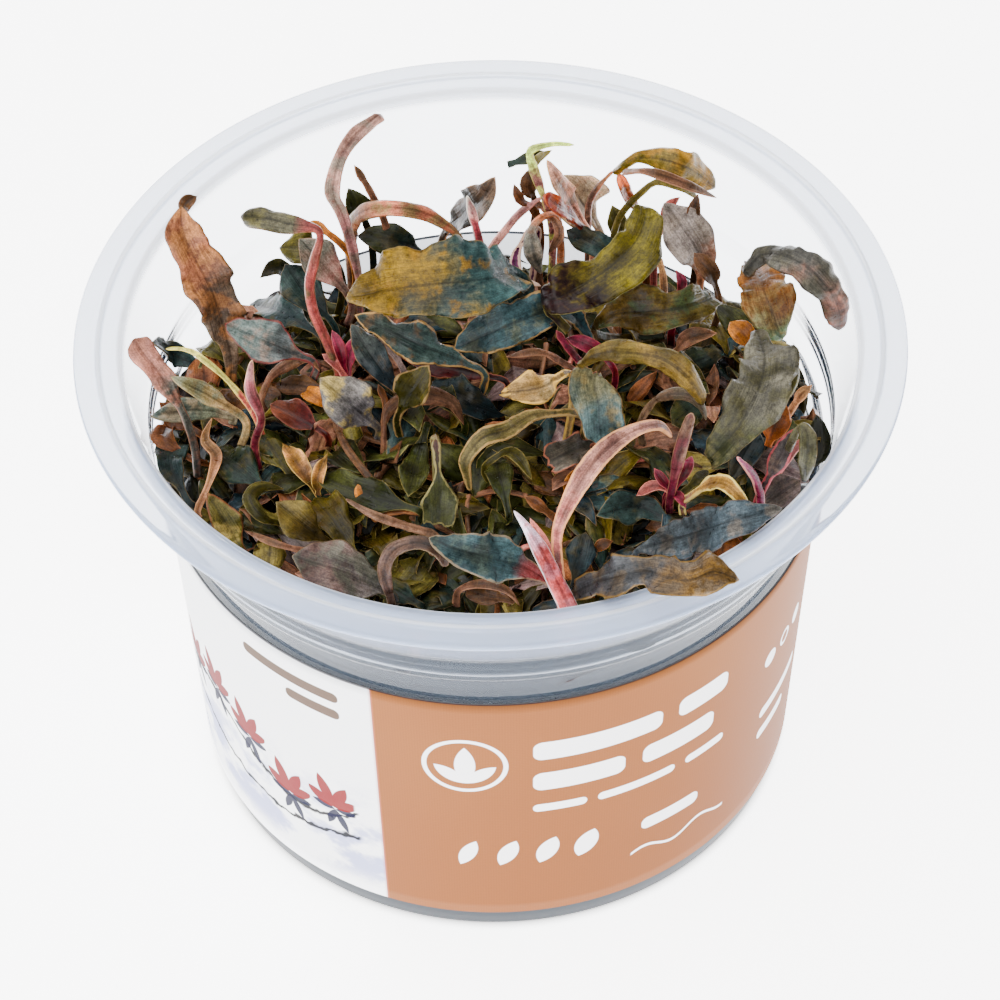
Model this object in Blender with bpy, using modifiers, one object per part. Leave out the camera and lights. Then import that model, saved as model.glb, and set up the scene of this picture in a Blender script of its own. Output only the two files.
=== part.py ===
"""A bucephalandra in its lidless plant cup: a flanged plastic cup, its paper band and the clump that fills it.

Metres, +Z up. The origin is the middle of the cup's base, on the table.
Each leaf follows a route read by eye along the lines of sight of one reference view, 1000 by 1000 picture
units wide. A route point is (picture x, picture y, height above the table in millimetres).
"""

import itertools
import math
from dataclasses import dataclass

import bmesh
import bpy
import numpy as np
from mathutils.bvhtree import BVHTree

MM = 0.001

# The cup: radii and heights in millimetres, heights above the table
CUP_HEIGHT = 71.0
FLANGE_RADIUS = 52.5
FLANGE_THICKNESS = 1.0
MOUTH_RADIUS = 46.3
LIP_RADIUS = 47.7
LIP_DROP = 1.3
BEAD_RADIUS = 49.4
BEAD_HEIGHT = 0.25
STEP_HEIGHT = 55.2
STEP_INNER_RADIUS = 43.4
BAND_HEIGHT = 59.2
BODY_TOP_RADIUS = 42.3
BODY_BOTTOM_RADIUS = 39.3
BASE_RADIUS = 38.6
WALL = 0.7
FLOOR_THICKNESS = 0.8
FLOOR_ROUND = 1.2
FLANGE_ROUND = 0.3
LIP_ROUND = 0.4
STEP_ROUND = 0.4
BASE_ROUND_HEIGHT = 2.0
CUP_SEGMENTS = 56

# The paper band round the body
LABEL_BOTTOM = 3.8
LABEL_TOP = 48.8
LABEL_THICKNESS = 0.25
GAP = 0.3

# The thicket: roots, creeping stems and old small leaves under the main leaves
THICKET_TOP = 61.0
THICKET_EDGE_DROP = 7.0
THICKET_BACK_DROP = 15.0
THICKET_BACK_START = 6.0
THICKET_BACK_END = 38.0
THICKET_CLEARANCE = 0.5
THICKET_SHOULDER = 3.0
THICKET_SHOULDER_START = 0.85
THICKET_SIDE_DROP = 8.0
THICKET_FOOT_INSET = 1.5
THICKET_REACH = 40.2
THICKET_SEGMENTS = 28
THICKET_RINGS = 14
LUMP_HEIGHT = 1.4
LUMP_SPACING = 11.0

# The reference view
PICTURE_MIDDLE = 500.0
EYE_DISTANCE = 550.0
EYE_ELEVATION = math.radians(46.9)
EYE_ROLL = math.radians(-0.9)
FOCAL_UNITS = 4190.0
AIM = np.array([0.9, 0.0, 40.2])

# Leaf building
STATIONS = 9
FOOT_STATIONS = 3
LEAF_THICKNESS = 0.5
STEM_THICKNESS = 1.1
TIP_WIDTH = 0.25
LEAF_GAP = 0.9
CELL = 4.0
PICTURE_CELLS = 250
COVER_ALONG = 64
COVER_ACROSS = 17
DRAPE_PASSES = 6
FOOT_REACHES = (0.0, 2.0, 4.0, 6.0, 9.0, 12.0)
FOOT_TURNS = 12
FOOT_LIMIT_RADIUS = 38.5
FOOT_SHARES = (1.0, 0.7, 0.45, 0.25)
TEST_PADDINGS = (0.3, 0.1)
STUB_LENGTH = 0.8
FOOT_BENDS = (0.45, 0.2, 0.7)
SMOOTHING_PASSES = 40
LIFT_SPREAD = 0.94


@dataclass(frozen=True)
class Leaf:
    """One leaf, shoot or bare stem. Widths are millimetres; shares run from 0 at the base to 1 at the tip."""

    name: str
    finish: str
    route: tuple
    width: float = 0.0
    petiole: float = 0.14
    widest: float = 0.5
    cut: float = 0.0
    fold: float = 14.0
    roll: float = 0.0
    wave: float = 0.0
    waves: float = 2.0
    faces_up: float = 0.3
    round_stem: bool = False


COLOURS = {
    "teal": ((0.035, 0.085, 0.085, 1.0), 0.35),
    "olive": ((0.13, 0.12, 0.03, 1.0), 0.4),
    "green": ((0.16, 0.2, 0.03, 1.0), 0.4),
    "grey": ((0.16, 0.14, 0.11, 1.0), 0.5),
    "rust": ((0.3, 0.1, 0.035, 1.0), 0.45),
    "ochre": ((0.38, 0.25, 0.06, 1.0), 0.45),
    "pink": ((0.5, 0.17, 0.14, 1.0), 0.4),
    "crimson": ((0.32, 0.03, 0.07, 1.0), 0.4),
    "thicket": ((0.03, 0.035, 0.02, 1.0), 0.6),
    "cup_plastic": ((0.85, 0.87, 0.9, 0.35), 0.25),
    "label_paper": ((0.55, 0.32, 0.2, 1.0), 0.6),
}

# From the deepest in the cup to the nearest to the eye. Where the width varies freely, each route point also has
# the half widths to the left and to the right of the midrib, seen from the base towards the tip, in millimetres.
LEAVES = (
    Leaf("leaf_back_greybrown", "grey", ((598, 228, 62), (582, 203, 68), (564, 175, 73)), 5.0, widest=0.6),
    Leaf("leaf_back_lilac", "grey", ((700, 286, 63), (701, 262, 67), (688, 236, 71), (664, 203, 74)), 4.6),
    Leaf("stem_back_dark", "crimson", ((588, 230, 64), (589, 205, 69), (598, 187, 74), (613, 171, 78)), 0.9,
         round_stem=True),
    Leaf("sheath_back_brown", "rust", ((646, 220, 66), (628, 198, 72), (619, 174, 77)), 1.9, cut=0.25, fold=30),
    Leaf("leaf_back_cap", "olive",
         ((618, 170, 76, 0.6, 0.6), (637, 158, 80, 0.9, 0.7), (655, 158, 81, 1.4, 1.4), (675, 163, 82, 2.1, 2.1),
          (695, 172, 80, 2.4, 2.2), (715, 188, 76, 0.9, 0.9)), fold=-24, roll=-14),
    Leaf("leaf_back_dark_olive", "olive", ((446, 232, 66), (466, 213, 73), (482, 199, 78), (495, 177, 82)), 3.8),
    Leaf("stem_mid_pink", "pink", ((495, 243, 66), (519, 214, 71), (542, 197, 75)), 1.1, round_stem=True),
    Leaf("leaf_yellow_tip", "green", ((549, 214, 68), (540, 188, 75), (532, 162, 82), (536, 146, 85),
                                      (574, 145, 85)), 1.5, petiole=0.1, fold=25),
    Leaf("leaf_tan_upright", "rust", ((588, 232, 64), (572, 206, 70), (559, 183, 76), (547, 160, 81)), 2.7),
    Leaf("sheath_orange", "rust", ((590, 236, 64), (566, 213, 70), (544, 196, 76)), 2.3, cut=0.25),
    Leaf("shoot_crimson_curl", "crimson", ((529, 232, 70), (516, 256, 70), (520, 278, 70), (541, 286, 70)), 1.8,
         fold=35),
    Leaf("leaf_hanging_dark", "teal", ((541, 218, 74), (532, 228, 74), (533, 250, 71), (541, 274, 67)), 2.5,
         fold=-20),
    Leaf("shoot_back_pink", "pink", ((480, 244, 68), (473, 216, 74), (467, 196, 79)), 1.3, round_stem=True),
    Leaf("leaf_arched_orange", "rust",
         ((350, 243, 66, 0.9, 0.9), (352, 223, 73, 1.1, 1.1), (366, 210, 77, 1.2, 1.2), (397, 208, 79, 1.1, 1.1),
          (430, 215, 77, 1.0, 1.0), (463, 238, 72, 0.3, 0.3)), fold=-18),
    Leaf("leaf_grey_pink", "grey", ((346, 292, 64), (323, 264, 68), (299, 239, 71)), 4.0),
    Leaf("leaf_rolled_tall", "rust",
         ((358, 276, 66, 0.6, 0.6), (351, 245, 74, 0.7, 0.7), (342, 215, 80, 0.7, 0.7), (333, 192, 85, 1.0, 0.9),
          (338, 165, 88, 0.9, 0.8), (350, 144, 90, 0.9, 0.9), (366, 125, 91, 0.9, 1.0), (381, 115, 91, 0.5, 1.2)),
         fold=35),
    Leaf("leaf_upper_left", "olive",
         ((336, 364, 64, 0.6, 0.6), (322, 330, 68, 0.7, 0.7), (310, 300, 72, 0.7, 0.7), (312, 268, 76, 0.7, 0.7),
          (321, 242, 79, 0.6, 0.6), (318, 230, 80, 0.6, 0.5), (303, 226, 80, 0.9, 0.9),
          (282, 223, 80, 1.5, 1.5), (258, 217, 80, 1.6, 1.5), (241, 216, 79, 1.0, 1.0)), fold=-15),
    Leaf("leaf_rust_tall", "rust",
         ((228, 345, 64, 1.2, 1.4), (219, 312, 69, 2.6, 3.2), (209, 286, 73, 3.2, 3.2), (197, 262, 76, 2.9, 3.1),
          (185, 238, 79, 2.7, 2.7), (180, 219, 81, 1.6, 1.6), (181, 206, 82, 0.3, 0.3)), wave=0.3, fold=20),
    Leaf("leaf_left_dark_green", "teal", ((232, 417, 60), (196, 410, 63), (151, 417, 65)), 3.3, wave=0.3),
    Leaf("leaf_rust_left", "rust",
         ((177, 402, 67, 0.6, 0.6), (161, 376, 71, 1.7, 1.6), (143, 353, 73, 1.8, 1.8), (134, 339, 74, 0.9, 0.9))),
    Leaf("leaf_left_olive", "olive", ((239, 414, 64), (206, 394, 68), (171, 377, 70)), 2.6),
    Leaf("leaf_red_margin", "teal", ((310, 360, 64), (266, 342, 67), (225, 324, 68)), 4.2, wave=0.3),
    Leaf("leaf_narrow_green", "green", ((244, 400, 66), (225, 378, 70), (205, 361, 73), (188, 350, 74),
                                        (166, 349, 74)), 0.9, fold=20),
    Leaf("shoot_left_pink", "crimson", ((256, 438, 64), (261, 418, 69), (250, 388, 75), (252, 360, 79)), 1.6,
         round_stem=True, petiole=0.3),
    Leaf("leaf_veined_olive", "olive", ((243, 552, 55), (226, 523, 61), (207, 493, 65)), 4.0),
    Leaf("leaf_front_left", "olive", ((327, 542, 61), (300, 522, 65), (276, 502, 67)), 4.6),
    Leaf("leaf_centre_teal", "teal", ((402, 398, 64), (379, 366, 69), (351, 324, 71)), 3.8),
    Leaf("leaf_wavy_teal", "teal", ((480, 370, 66), (440, 353, 71), (400, 336, 73), (355, 315, 73)), 4.6,
         wave=0.6, waves=2.5),
    Leaf("leaf_olive_tip", "olive", ((399, 414, 65), (411, 392, 69), (429, 365, 72)), 3.5),
    Leaf("leaf_grey_purple", "grey", ((377, 427, 62), (351, 405, 67), (320, 378, 70)), 4.5),
    Leaf("leaf_speckled_small", "grey", ((436, 444, 70), (438, 470, 69), (440, 496, 67), (438, 524, 64)), 5.0,
         widest=0.75, cut=0.15),
    Leaf("leaf_veined_brown", "grey", ((592, 442, 62), (568, 453, 65), (548, 463, 65)), 5.0, cut=0.2),
    Leaf("strap_ochre", "ochre", ((572, 413, 69), (532, 416, 72), (506, 431, 74), (480, 440, 74), (466, 460, 72),
                                  (470, 491, 66)), 2.0, petiole=0.05),
    Leaf("stem_front_brown", "rust", ((432, 534, 63), (376, 516, 69), (346, 499, 70)), 1.2, round_stem=True),
    Leaf("leaf_torn_square", "teal",
         ((602, 444, 65, 0.5, 0.5), (600, 425, 68, 2.4, 3.4), (598, 403, 70, 3.3, 3.0), (594, 384, 72, 3.0, 1.8),
          (596, 374, 72, 2.6, 0.5))),
    Leaf("leaf_torn_amber", "ochre", ((564, 374, 68), (540, 388, 71), (506, 393, 71)), 3.7, cut=0.15),
    Leaf("leaf_mid_teal", "teal",
         ((590, 340, 66, 0.6, 0.6), (574, 318, 71, 1.0, 1.3), (548, 312, 74, 1.6, 2.0), (520, 321, 75, 3.2, 3.0),
          (490, 333, 74, 2.6, 3.1), (468, 343, 72, 1.6, 1.9), (454, 349, 71, 0.3, 0.3))),
    Leaf("leaf_olive_teal", "olive",
         ((597, 326, 65, 0.6, 0.6), (614, 315, 69, 2.0, 1.6), (638, 312, 72, 3.2, 3.0), (664, 311, 73, 2.8, 3.0),
          (690, 306, 73, 2.4, 2.4), (713, 298, 71, 1.4, 1.4)), wave=0.3),
    Leaf("leaf_big_green", "green",
         ((546, 303, 66, 0.8, 0.8), (560, 297, 69, 2.9, 2.4), (578, 288, 72, 3.7, 3.8), (605, 271, 76, 2.4, 4.1),
          (632, 247, 79, 2.1, 4.0), (645, 222, 80, 2.5, 2.4), (647, 207, 80, 1.0, 0.9))),
    Leaf("leaf_big_olive", "olive",
         ((512, 274, 70, 2.4, 2.6), (500, 277, 73, 3.4, 4.1), (480, 280, 76, 4.3, 5.0), (440, 284, 79, 4.8, 5.3),
          (400, 288, 79, 3.8, 4.7), (366, 295, 77, 1.8, 2.7), (346, 299, 75, 0.3, 0.4))),
    Leaf("leaf_arch_brown", "grey",
         ((644, 415, 66), (653, 402, 69), (667, 395, 71), (686, 394, 72), (700, 404, 70), (706, 420, 67)), 1.9,
         fold=-25, roll=-15),
    Leaf("leaf_arch_ochre", "ochre",
         ((583, 363, 67, 0.6, 0.6), (604, 352, 71, 1.4, 1.3), (632, 353, 75, 1.6, 1.5), (660, 358, 76, 1.6, 1.5),
          (682, 372, 75, 1.7, 1.6), (697, 391, 72, 1.3, 1.2), (703, 405, 68, 0.4, 0.4)), fold=-25, roll=-15),
    Leaf("shoot_crimson_right", "crimson", ((670, 500, 60), (676, 470, 67), (683, 441, 72), (692, 413, 75)), 1.7,
         round_stem=True, cut=0.2),
    Leaf("leaf_rust_oval", "rust",
         ((757, 257, 70, 0.6, 0.6), (759, 270, 72, 2.2, 2.2), (763, 288, 74, 3.2, 3.1), (771, 310, 74, 3.3, 3.2),
          (777, 328, 73, 2.0, 2.4), (781, 340, 71, 0.6, 0.8))),
    Leaf("leaf_arch_grey", "grey",
         ((748, 272, 68, 0.8, 0.7), (760, 256, 75, 1.3, 1.2), (784, 256, 80, 1.8, 1.9), (805, 265, 81, 2.2, 2.3),
          (825, 285, 80, 2.3, 2.0), (838, 306, 77, 1.6, 1.9), (839, 330, 72, 1.0, 1.2)), fold=-15, wave=0.25,
         waves=3.0),
    Leaf("leaf_speckled_big", "grey",
         ((757, 334, 71, 0.7, 0.7), (763, 350, 74, 2.2, 2.2), (764, 368, 76, 4.3, 3.1), (757, 394, 77, 4.0, 3.4),
          (741, 424, 76, 2.8, 3.1), (722, 446, 73, 2.2, 2.0), (709, 459, 71, 1.4, 1.0)), wave=0.3),
    Leaf("leaf_pink_margin", "olive", ((761, 493, 63), (773, 470, 68), (784, 449, 71), (796, 428, 73)), 2.7,
         petiole=0.3),
    Leaf("leaf_hooked_olive", "olive", ((790, 446, 66), (799, 428, 71), (808, 436, 73), (807, 458, 71),
                                        (804, 482, 66)), 2.3, petiole=0.1, widest=0.6),
    Leaf("leaf_yellow_curl", "ochre", ((684, 502, 62), (708, 486, 70), (725, 485, 73), (738, 496, 73),
                                       (746, 507, 70)), 2.6, petiole=0.3, fold=30),
    Leaf("shoot_magenta", "crimson", ((760, 494, 64), (753, 475, 70), (737, 457, 75)), 1.1, round_stem=True),
    Leaf("leaf_front_right", "teal",
         ((640, 550, 59, 0.5, 0.5), (672, 540, 62, 2.0, 2.4), (702, 531, 64, 2.4, 3.0), (732, 521, 66, 2.4, 2.7),
          (760, 513, 67, 1.3, 1.5), (782, 508, 67, 0.3, 0.3)), wave=0.3),
    Leaf("leaf_front_greybrown", "grey", ((390, 594, 60), (345, 573, 65), (292, 556, 67)), 5.4),
    Leaf("leaf_ring_brown", "rust",
         ((389, 594, 60, 0.6, 0.6), (385, 572, 65, 0.7, 0.7), (392, 553, 68, 0.7, 0.7), (415, 543, 70, 0.7, 0.7),
          (436, 549, 70, 0.7, 0.7), (447, 566, 68, 0.5, 0.5)), fold=30),
    Leaf("leaf_front_teal", "teal",
         ((556, 594, 62, 0.4, 0.4), (540, 576, 65, 0.6, 0.6), (512, 564, 67, 2.4, 2.4), (485, 557, 69, 3.0, 2.9),
          (458, 550, 70, 2.2, 2.3), (429, 538, 69, 0.3, 0.3)), wave=0.3),
    Leaf("leaf_over_rim", "rust",
         ((573, 598, 66, 0.6, 0.6), (590, 585, 70, 1.5, 1.5), (615, 578, 73, 2.2, 2.2), (648, 571, 75, 2.0, 2.0),
          (680, 582, 76, 2.5, 2.4), (703, 575, 76, 2.4, 2.5), (722, 571, 76, 1.6, 1.6),
          (739, 580, 75, 0.4, 0.4))),
    Leaf("strap_pink_long", "pink",
         ((562, 592, 63, 0.7, 0.7), (558, 560, 68, 0.7, 0.7), (558, 530, 72, 0.8, 0.8), (575, 492, 77, 1.3, 1.2),
          (590, 468, 79, 1.5, 1.5), (607, 449, 80, 1.4, 1.4), (626, 436, 80, 1.1, 1.1), (645, 427, 79, 0.8, 0.8),
          (661, 427, 77, 0.7, 0.7), (672, 437, 74, 0.3, 0.3)), fold=25),
    Leaf("shoot_front_pink", "pink",
         ((564, 598, 64, 1.1, 1.1), (552, 574, 67, 1.1, 1.1), (537, 544, 71, 0.9, 0.9), (525, 525, 73, 0.5, 0.5),
          (514, 511, 75, 0.2, 0.2)), round_stem=True),
)


def unit(vectors):
    """The same vectors at length one, along the last axis."""
    vectors = np.asarray(vectors, float)
    return vectors / np.maximum(np.linalg.norm(vectors, axis=-1, keepdims=True), 1e-9)


def view_axes():
    """The picture's right, up and towards-the-eye directions, and the eye, in millimetres."""
    back = np.array([0.0, -math.cos(EYE_ELEVATION), math.sin(EYE_ELEVATION)])
    level_up = np.array([0.0, math.sin(EYE_ELEVATION), math.cos(EYE_ELEVATION)])
    level_right = np.array([1.0, 0.0, 0.0])
    right = math.cos(EYE_ROLL) * level_right + math.sin(EYE_ROLL) * level_up
    up = math.cos(EYE_ROLL) * level_up - math.sin(EYE_ROLL) * level_right
    return right, up, back, AIM + back * EYE_DISTANCE


RIGHT, UP, BACK, EYE = view_axes()


def on_sight_line(route):
    """The point at each route point's height on the line of sight through its place in the picture."""
    x, y, height = np.asarray([place[:3] for place in route], float).T
    ray = ((x - PICTURE_MIDDLE)[:, None] * RIGHT + (PICTURE_MIDDLE - y)[:, None] * UP) / FOCAL_UNITS - BACK
    return EYE + ray * ((height - EYE[2]) / ray[:, 2])[:, None]


def in_picture(points):
    """(picture x, picture y, distance from the eye) of points."""
    seen = points - EYE
    depth = -(seen @ BACK)
    x = PICTURE_MIDDLE + FOCAL_UNITS * (seen @ RIGHT) / depth
    y = PICTURE_MIDDLE - FOCAL_UNITS * (seen @ UP) / depth
    return x, y, np.linalg.norm(seen, axis=-1)


def smooth_path(points, count):
    """Evenly spaced points on the Catmull-Rom curve through the given ones. Widths may follow x, y and z."""
    ends = np.vstack([2 * points[0] - points[1], points, 2 * points[-1] - points[-2]])
    t = np.linspace(0.0, 1.0, 12, endpoint=False)[:, None]
    runs = []
    for a, b, c, d in zip(ends, ends[1:], ends[2:], ends[3:]):
        bend = (2 * a - 5 * b + 4 * c - d) * t**2
        runs.append(0.5 * (2 * b + (c - a) * t + bend + (3 * b - a - 3 * c + d) * t**3))
    fine = np.vstack([*runs, points[-1:]])
    along = np.concatenate([[0.0], np.cumsum(np.linalg.norm(np.diff(fine[:, :3], axis=0), axis=1))])
    places = np.linspace(0.0, along[-1], count)
    return np.stack([np.interp(places, along, column) for column in fine.T], axis=1)


def wall_radius(height):
    """The cup's inner radius at a height."""
    heights = (0.0, STEP_HEIGHT - 0.4, STEP_HEIGHT, CUP_HEIGHT - LIP_DROP)
    radii = (BODY_BOTTOM_RADIUS - WALL, BODY_TOP_RADIUS - WALL, STEP_INNER_RADIUS, MOUTH_RADIUS)
    return np.interp(height, heights, radii)


def thicket_top(x, y):
    """The height of the thicket's lumpy top: a low dome that falls towards the back of the cup."""
    radius = np.hypot(x, y) / MOUTH_RADIUS
    back = np.clip((y - THICKET_BACK_START) / (THICKET_BACK_END - THICKET_BACK_START), 0.0, 1.0)
    turn = 2 * math.pi / LUMP_SPACING
    lumps = np.sin(turn * x + 0.8) * np.sin(turn * 0.9 * y) + 0.6 * np.sin(turn * 0.6 * (x + y))
    return THICKET_TOP - THICKET_EDGE_DROP * radius**3 - THICKET_BACK_DROP * back**2 + LUMP_HEIGHT * lumps


def default_half_width(leaf, share):
    """Half the leaf's width at each share of its length: a thin petiole, then a blade that swells and ends."""
    blade = np.clip((share - leaf.petiole) / (1.0 - leaf.petiole), 0.0, 1.0) * (1.0 - leaf.cut)
    swell = np.sin(math.pi * blade ** (math.log(0.5) / math.log(leaf.widest))) ** 0.8
    stem = min(STEM_THICKNESS, leaf.width) / 2
    bare = stem * np.clip(1.0 - blade * 1.6, 0.0, 1.0)
    if leaf.round_stem:
        bare = stem * (1.0 - 0.75 * blade**2)
    return np.maximum.reduce([leaf.width / 2 * swell, bare, np.full_like(share, TIP_WIDTH)])


def stations_of(leaf, count):
    """Evenly spaced stations along the leaf's route: x, y, z and the half widths to the left and right."""
    places = on_sight_line(leaf.route)
    if leaf.width:
        path = smooth_path(places, count)
        half = default_half_width(leaf, np.linspace(0.0, 1.0, count))
        return np.column_stack([path, half, half])
    widths = np.array([place[3:] for place in leaf.route])
    return smooth_path(np.column_stack([places, widths]), count)


def frames(leaf, path):
    """The sideways and facing directions of the leaf at each point of its path."""
    along = unit(np.gradient(path, axis=0))
    facing = unit((1.0 - leaf.faces_up) * unit(EYE - path) + leaf.faces_up * np.array([0.0, 0.0, 1.0]))
    side = unit(np.cross(along, facing))
    normal = np.cross(side, along)
    turn = math.radians(leaf.roll)
    return side * math.cos(turn) + normal * math.sin(turn), normal * math.cos(turn) - side * math.sin(turn)


def leaf_surface(leaf, stations, share, across):
    """The leaf's middle surface: a point for each station and each place across, from -1, left, to 1, right."""
    path = stations[:, :3]
    side, normal = frames(leaf, path)
    half = np.where(across[None, :] < 0, stations[:, 3:4], stations[:, 4:5])
    fold = 0.0 if leaf.round_stem else math.radians(leaf.fold)
    ripple = leaf.wave * (np.sin(2 * math.pi * leaf.waves * share) * np.sin(math.pi * share))[:, None]
    out = across[None, :] * half * math.cos(fold)
    lift = np.abs(across)[None, :] * half * math.sin(fold) + np.sign(across) * across**2 * ripple
    return path[:, None] + out[..., None] * side[:, None] + lift[..., None] * normal[:, None]


class Cover:
    """The nearest thing laid so far in each cell of the picture, as its distance from the eye."""

    def __init__(self):
        self.nearest = np.full((PICTURE_CELLS, PICTURE_CELLS), 1e6)

    def cells(self, points):
        """The cell of each point, and its distance from the eye."""
        x, y, distance = in_picture(points)
        column = np.clip((x / CELL).astype(int), 0, PICTURE_CELLS - 1)
        row = np.clip((y / CELL).astype(int), 0, PICTURE_CELLS - 1)
        return row, column, distance

    def lay(self, points):
        """Adds a surface's points."""
        row, column, distance = self.cells(points.reshape(-1, 3))
        np.minimum.at(self.nearest, (row, column), distance)

    def need(self, points):
        """How far each point has to come towards the eye to clear what is laid in its cell and the next ones."""
        padded = np.pad(self.nearest, 1, mode="edge")
        size = PICTURE_CELLS
        near = np.min([padded[i : i + size, j : j + size] for i in range(3) for j in range(3)], axis=0)
        row, column, distance = self.cells(points.reshape(-1, 3))
        return (distance + LEAF_GAP - near[row, column]).reshape(points.shape[:-1])


def lay_cup_and_thicket(cover):
    """Lays the far half of the cup's inner wall and flange and the thicket's top, as points."""
    turn = np.linspace(0.0, math.pi, 360)
    heights = np.linspace(FLOOR_THICKNESS, CUP_HEIGHT - LIP_DROP, 160)
    rings = [(wall_radius(height) - 0.6, height) for height in heights]
    rings += [(radius, CUP_HEIGHT + 0.4) for radius in np.linspace(MOUTH_RADIUS - 0.3, FLANGE_RADIUS, 18)]
    for radius, height in rings:
        cover.lay(np.stack([radius * np.cos(turn), radius * np.sin(turn), np.full_like(turn, height)], axis=1))
    x, y = np.meshgrid(np.arange(-42.0, 42.0, 0.3), np.arange(-42.0, 42.0, 0.3))
    top = thicket_top(x, y)
    inside = np.hypot(x, y) < wall_radius(top) - 1.0
    cover.lay(np.stack([x, y, top], axis=-1)[inside])


def drape(leaf, cover):
    """The leaf's stations, bent towards the eye just enough to lie over what is already there."""
    stations = stations_of(leaf, STATIONS)
    across = np.linspace(-1.0, 1.0, COVER_ACROSS)
    fine = np.linspace(0.0, 1.0, COVER_ALONG)
    coarse = np.linspace(0.0, 1.0, STATIONS)
    for _ in range(DRAPE_PASSES):
        dense = smooth_path(stations, COVER_ALONG)
        need = cover.need(leaf_surface(leaf, dense, fine, across)).max(axis=1)
        lift = np.array([need[np.abs(fine - place) <= 1.0 / (STATIONS - 1)].max() for place in coarse])
        lift = np.maximum(lift, 0.0)
        if not lift.any():
            break
        for _ in range(SMOOTHING_PASSES):
            lift[1:-1] = np.maximum(lift[1:-1], LIFT_SPREAD * (lift[:-2] + lift[2:]) / 2)
            lift[-1] = max(lift[-1], LIFT_SPREAD * lift[-2])
            lift[0] = max(lift[0], LIFT_SPREAD * lift[1])
        stations[:, :3] += unit(EYE - stations[:, :3]) * lift[:, None]
    return stations


def with_foot(stations, foot, bend_share):
    """The whole leaf, its foot easing into its own line, and each station's share of the part above the foot."""
    base = stations[0, :3]
    bend = base + unit(base - stations[1, :3]) * bend_share * np.linalg.norm(base - foot)
    t = np.linspace(0.0, 1.0, FOOT_STATIONS, endpoint=False)[:, None]
    lower = foot * (1 - t) ** 2 + bend * 2 * t * (1 - t) + base * t**2
    thin = np.minimum(stations[0, 3:], STEM_THICKNESS / 2)
    widths = thin * (1 - t) + stations[0, 3:] * t
    share = np.concatenate([np.zeros(FOOT_STATIONS), np.linspace(0.0, 1.0, len(stations))])
    return np.vstack([np.hstack([lower, widths]), stations]), share


def section_loops(leaf, stations, share, padding):
    """The leaf's section at each station: four corners of a thin lens, or six of a round stem."""
    path = stations[:, :3]
    side, normal = frames(leaf, path)
    if leaf.round_stem:
        turn = np.arange(6) * math.pi / 3
        radius = (stations[:, 3:].mean(axis=1) + padding)[:, None, None]
        spokes = np.cos(turn)[None, :, None] * side[:, None] + np.sin(turn)[None, :, None] * normal[:, None]
        return path[:, None] + radius * spokes
    edges = leaf_surface(leaf, stations, share, np.array([-1.0, 1.0]))
    edges = edges + np.array([-1.0, 1.0])[None, :, None] * side[:, None] * padding
    widths = stations[:, 3:].sum(axis=1)
    thickness = np.where(widths < STEM_THICKNESS * 1.6, np.maximum(widths * 0.75, LEAF_THICKNESS), LEAF_THICKNESS)
    rise = normal * (thickness / 2 + padding)[:, None]
    return np.stack([edges[:, 0], path + rise, edges[:, 1], path - rise], axis=1)


def loft(leaf, stations, share, padding=0.0):
    """The leaf's corners and faces: a point at the foot, then a ring at each station, closed at the tip."""
    loops = section_loops(leaf, stations, share, padding)[1:]
    rings, corners = loops.shape[:2]
    points = np.vstack([stations[:1, :3], loops.reshape(-1, 3)])
    faces = []
    for corner in range(corners):
        after = (corner + 1) % corners
        faces.append((0, 1 + corner, 1 + after))
        for low in range(1, 1 + (rings - 1) * corners, corners):
            faces.append((low + corner, low + corner + corners, low + after + corners, low + after))
    faces.append(tuple(range(1 + (rings - 1) * corners, 1 + rings * corners)))
    return points, faces


def tree_of(points, faces):
    """A search tree of some faces."""
    return BVHTree.FromPolygons(points.tolist(), faces)


def tree_of_object(made):
    """A search tree of an object's evaluated mesh, in millimetres."""
    mesh = made.evaluated_get(bpy.context.evaluated_depsgraph_get()).to_mesh()
    points = np.array([vertex.co for vertex in mesh.vertices]) / MM
    return tree_of(points, [tuple(face.vertices) for face in mesh.polygons])


def foot_places(base, heading, ground):
    """Places on the thicket for a foot, from straight below the leaf's base outwards, nearest bearing first."""
    for reach in FOOT_REACHES:
        for step in range(FOOT_TURNS if reach else 1):
            bearing = heading + (step + 1) // 2 * (1 if step % 2 else -1) * 2 * math.pi / FOOT_TURNS
            spot = base[:2] + reach * np.array([math.cos(bearing), math.sin(bearing)])
            spot *= min(1.0, FOOT_LIMIT_RADIUS / max(np.hypot(*spot), 0.001))
            hit = ground.ray_cast((*spot, CUP_HEIGHT), (0.0, 0.0, -1.0))[0]
            if hit is not None and hit.z + GAP < base[2] - GAP:
                yield np.array([*spot, hit.z + GAP])


def settle_foot(leaf, stations, placed):
    """The leaf with its foot on the thicket, or just above, or else with a stub that lies on the piece below."""
    base = stations[0, :3]
    onward = unit(base - stations[1, :3])
    feet = list(foot_places(base, math.atan2(onward[1], onward[0]), placed[1]))
    for padding, kept, bend in itertools.product(TEST_PADDINGS, FOOT_SHARES, FOOT_BENDS):
        for foot in feet:
            whole, share = with_foot(stations, base + (foot - base) * kept, bend)
            tree = tree_of(*loft(leaf, whole, share, padding))
            if not any(tree.overlap(other) for other in placed):
                return whole, share
    return with_foot(stations, base + onward * STUB_LENGTH, 0.0)


def material(name, finish):
    """The named Principled material, made on first use."""
    made = bpy.data.materials.get(name)
    if made is None:
        colour, roughness = COLOURS[finish]
        made = bpy.data.materials.new(name)
        made.use_nodes = True
        made.diffuse_color = colour
        shader = made.node_tree.nodes["Principled BSDF"]
        shader.inputs["Base Color"].default_value = colour
        shader.inputs["Roughness"].default_value = roughness
        shader.inputs["Metallic"].default_value = 0.0
        shader.inputs["Alpha"].default_value = colour[3]
    return made


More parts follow.
